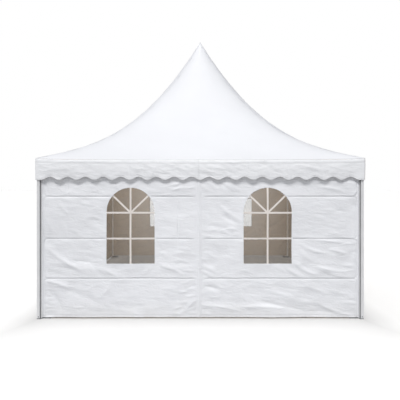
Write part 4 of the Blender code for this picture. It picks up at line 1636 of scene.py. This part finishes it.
class MARQUEE_OT_stage(bpy.types.Operator):
    """Adds the floor, the lights and the camera"""

    bl_idname = "marquee.stage"
    bl_label = "Stage"

    def execute(self, context):
        stage = scene_settings(context, "stage")
        bpy.ops.object.select_all(action="DESELECT")
        bpy.ops.mesh.primitive_plane_add(size=160)
        floor = context.active_object
        floor.name = "studio_floor"
        floor.data.materials.append(finish("floor"))

        # a broad high sun in front, a little to the left
        key = add_light("key_light", "SUN", stage.sun, (-0.10, -0.50, 0.85))
        key.data.angle = math.radians(15)
        key.data.color = linear("FFFDFA")

        world = bpy.data.worlds.new("studio")
        context.scene.world = world
        world.use_nodes = True
        tree = world.node_tree
        tree.nodes.clear()
        seen = node(tree, "ShaderNodeLightPath").outputs["Is Camera Ray"]
        # an overcast sky: brightest high on the left, dim towards the horizon
        where = node(tree, "ShaderNodeTexCoord").outputs["Generated"]
        bright = node(
            tree, "ShaderNodeVectorMath", {0: where, 1: (-0.45, -0.25, 0.86)}, operation="DOT_PRODUCT"
        )
        level = node(
            tree, "ShaderNodeMapRange",
            {"Value": bright.outputs["Value"], "To Min": 0.36 * stage.sky, "To Max": stage.sky},
        )
        even = node(
            tree, "ShaderNodeBackground",
            {"Color": tone_of(linear("F6F9FF")), "Strength": level.outputs[0]},
        )
        plain = node(tree, "ShaderNodeBackground", {"Color": (1, 1, 1, 1), "Strength": 1.0})
        mixed = node(tree, "ShaderNodeMixShader", {0: seen, 1: even.outputs[0], 2: plain.outputs[0]})
        node(tree, "ShaderNodeOutputWorld", {"Surface": mixed.outputs[0]})

        fill = add_light("fill_light", "AREA", stage.fill, (0, -1, 0), (0, -6.2, 1.9))
        fill.data.size = 1.6
        fill.visible_camera = False

        # stands in for the daylight that comes through the cloth
        glow = add_light("inside_glow", "AREA", stage.glow, (0, -1, -0.25), (0, -2.25, 2.2))
        glow.data.shape = "RECTANGLE"
        glow.data.size, glow.data.size_y = 4.2, 0.25
        glow.data.color = linear("FFF3E4")
        glow.visible_camera = False

        eye = new_object("camera", bpy.data.cameras.new("camera"))
        eye.location = (stage.offset, -stage.distance, stage.height)
        eye.rotation_euler = (math.pi / 2, 0, 0)
        eye.data.sensor_width = 36
        eye.data.lens = stage.lens
        eye.data.shift_y = stage.shift
        eye.data.clip_end = 400
        context.scene.camera = eye
        context.scene.view_settings.view_transform = "Standard"
        return {"FINISHED"}


GROUPS = {
    "cloth": ClothSettings,
    "window": WindowSettings,
    "roof": RoofSettings,
    "fittings": FittingSettings,
    "finish": FinishSettings,
    "stage": StageSettings,
}
OPERATORS = (
    MARQUEE_OT_stage,
    MARQUEE_OT_metalwork,
    MARQUEE_OT_roof,
    MARQUEE_OT_valances,
    MARQUEE_OT_walls,
    MARQUEE_OT_seals,
    MARQUEE_OT_ground_fittings,
    MARQUEE_OT_eave_fittings,
    MARQUEE_OT_rigging,
)


class MARQUEE_PT_sidebar(bpy.types.Panel):
    """Lists the marquee's operators with their settings"""

    bl_idname = "MARQUEE_PT_sidebar"
    bl_label = "Pagoda marquee"
    bl_space_type = "VIEW_3D"
    bl_region_type = "UI"
    bl_category = "Marquee"

    def draw(self, context):
        for operator in OPERATORS:
            self.layout.operator(operator.bl_idname)
        for name, group in GROUPS.items():
            box = self.layout.box()
            box.label(text=name.capitalize())
            for key in group.__annotations__:
                box.prop(scene_settings(context, name), key)


def register():
    for group in GROUPS.values():
        bpy.utils.register_class(group)
    for name, group in GROUPS.items():
        setattr(bpy.types.Scene, "marquee_" + name, PointerProperty(type=group))
    for operator in OPERATORS:
        bpy.utils.register_class(operator)
    bpy.utils.register_class(MARQUEE_PT_sidebar)


def unregister():
    bpy.utils.unregister_class(MARQUEE_PT_sidebar)
    for operator in reversed(OPERATORS):
        bpy.utils.unregister_class(operator)
    for name in GROUPS:
        delattr(bpy.types.Scene, "marquee_" + name)
    for group in GROUPS.values():
        bpy.utils.unregister_class(group)


def main():
    register()
    bpy.ops.marquee.stage()
    bpy.ops.marquee.metalwork()
    bpy.ops.marquee.roof()
    bpy.ops.marquee.valances()
    bpy.ops.marquee.walls()
    bpy.ops.marquee.seals()
    bpy.ops.marquee.ground_fittings()
    bpy.ops.marquee.eave_fittings()
    bpy.ops.marquee.rigging()


if __name__ == "__main__":
    main()
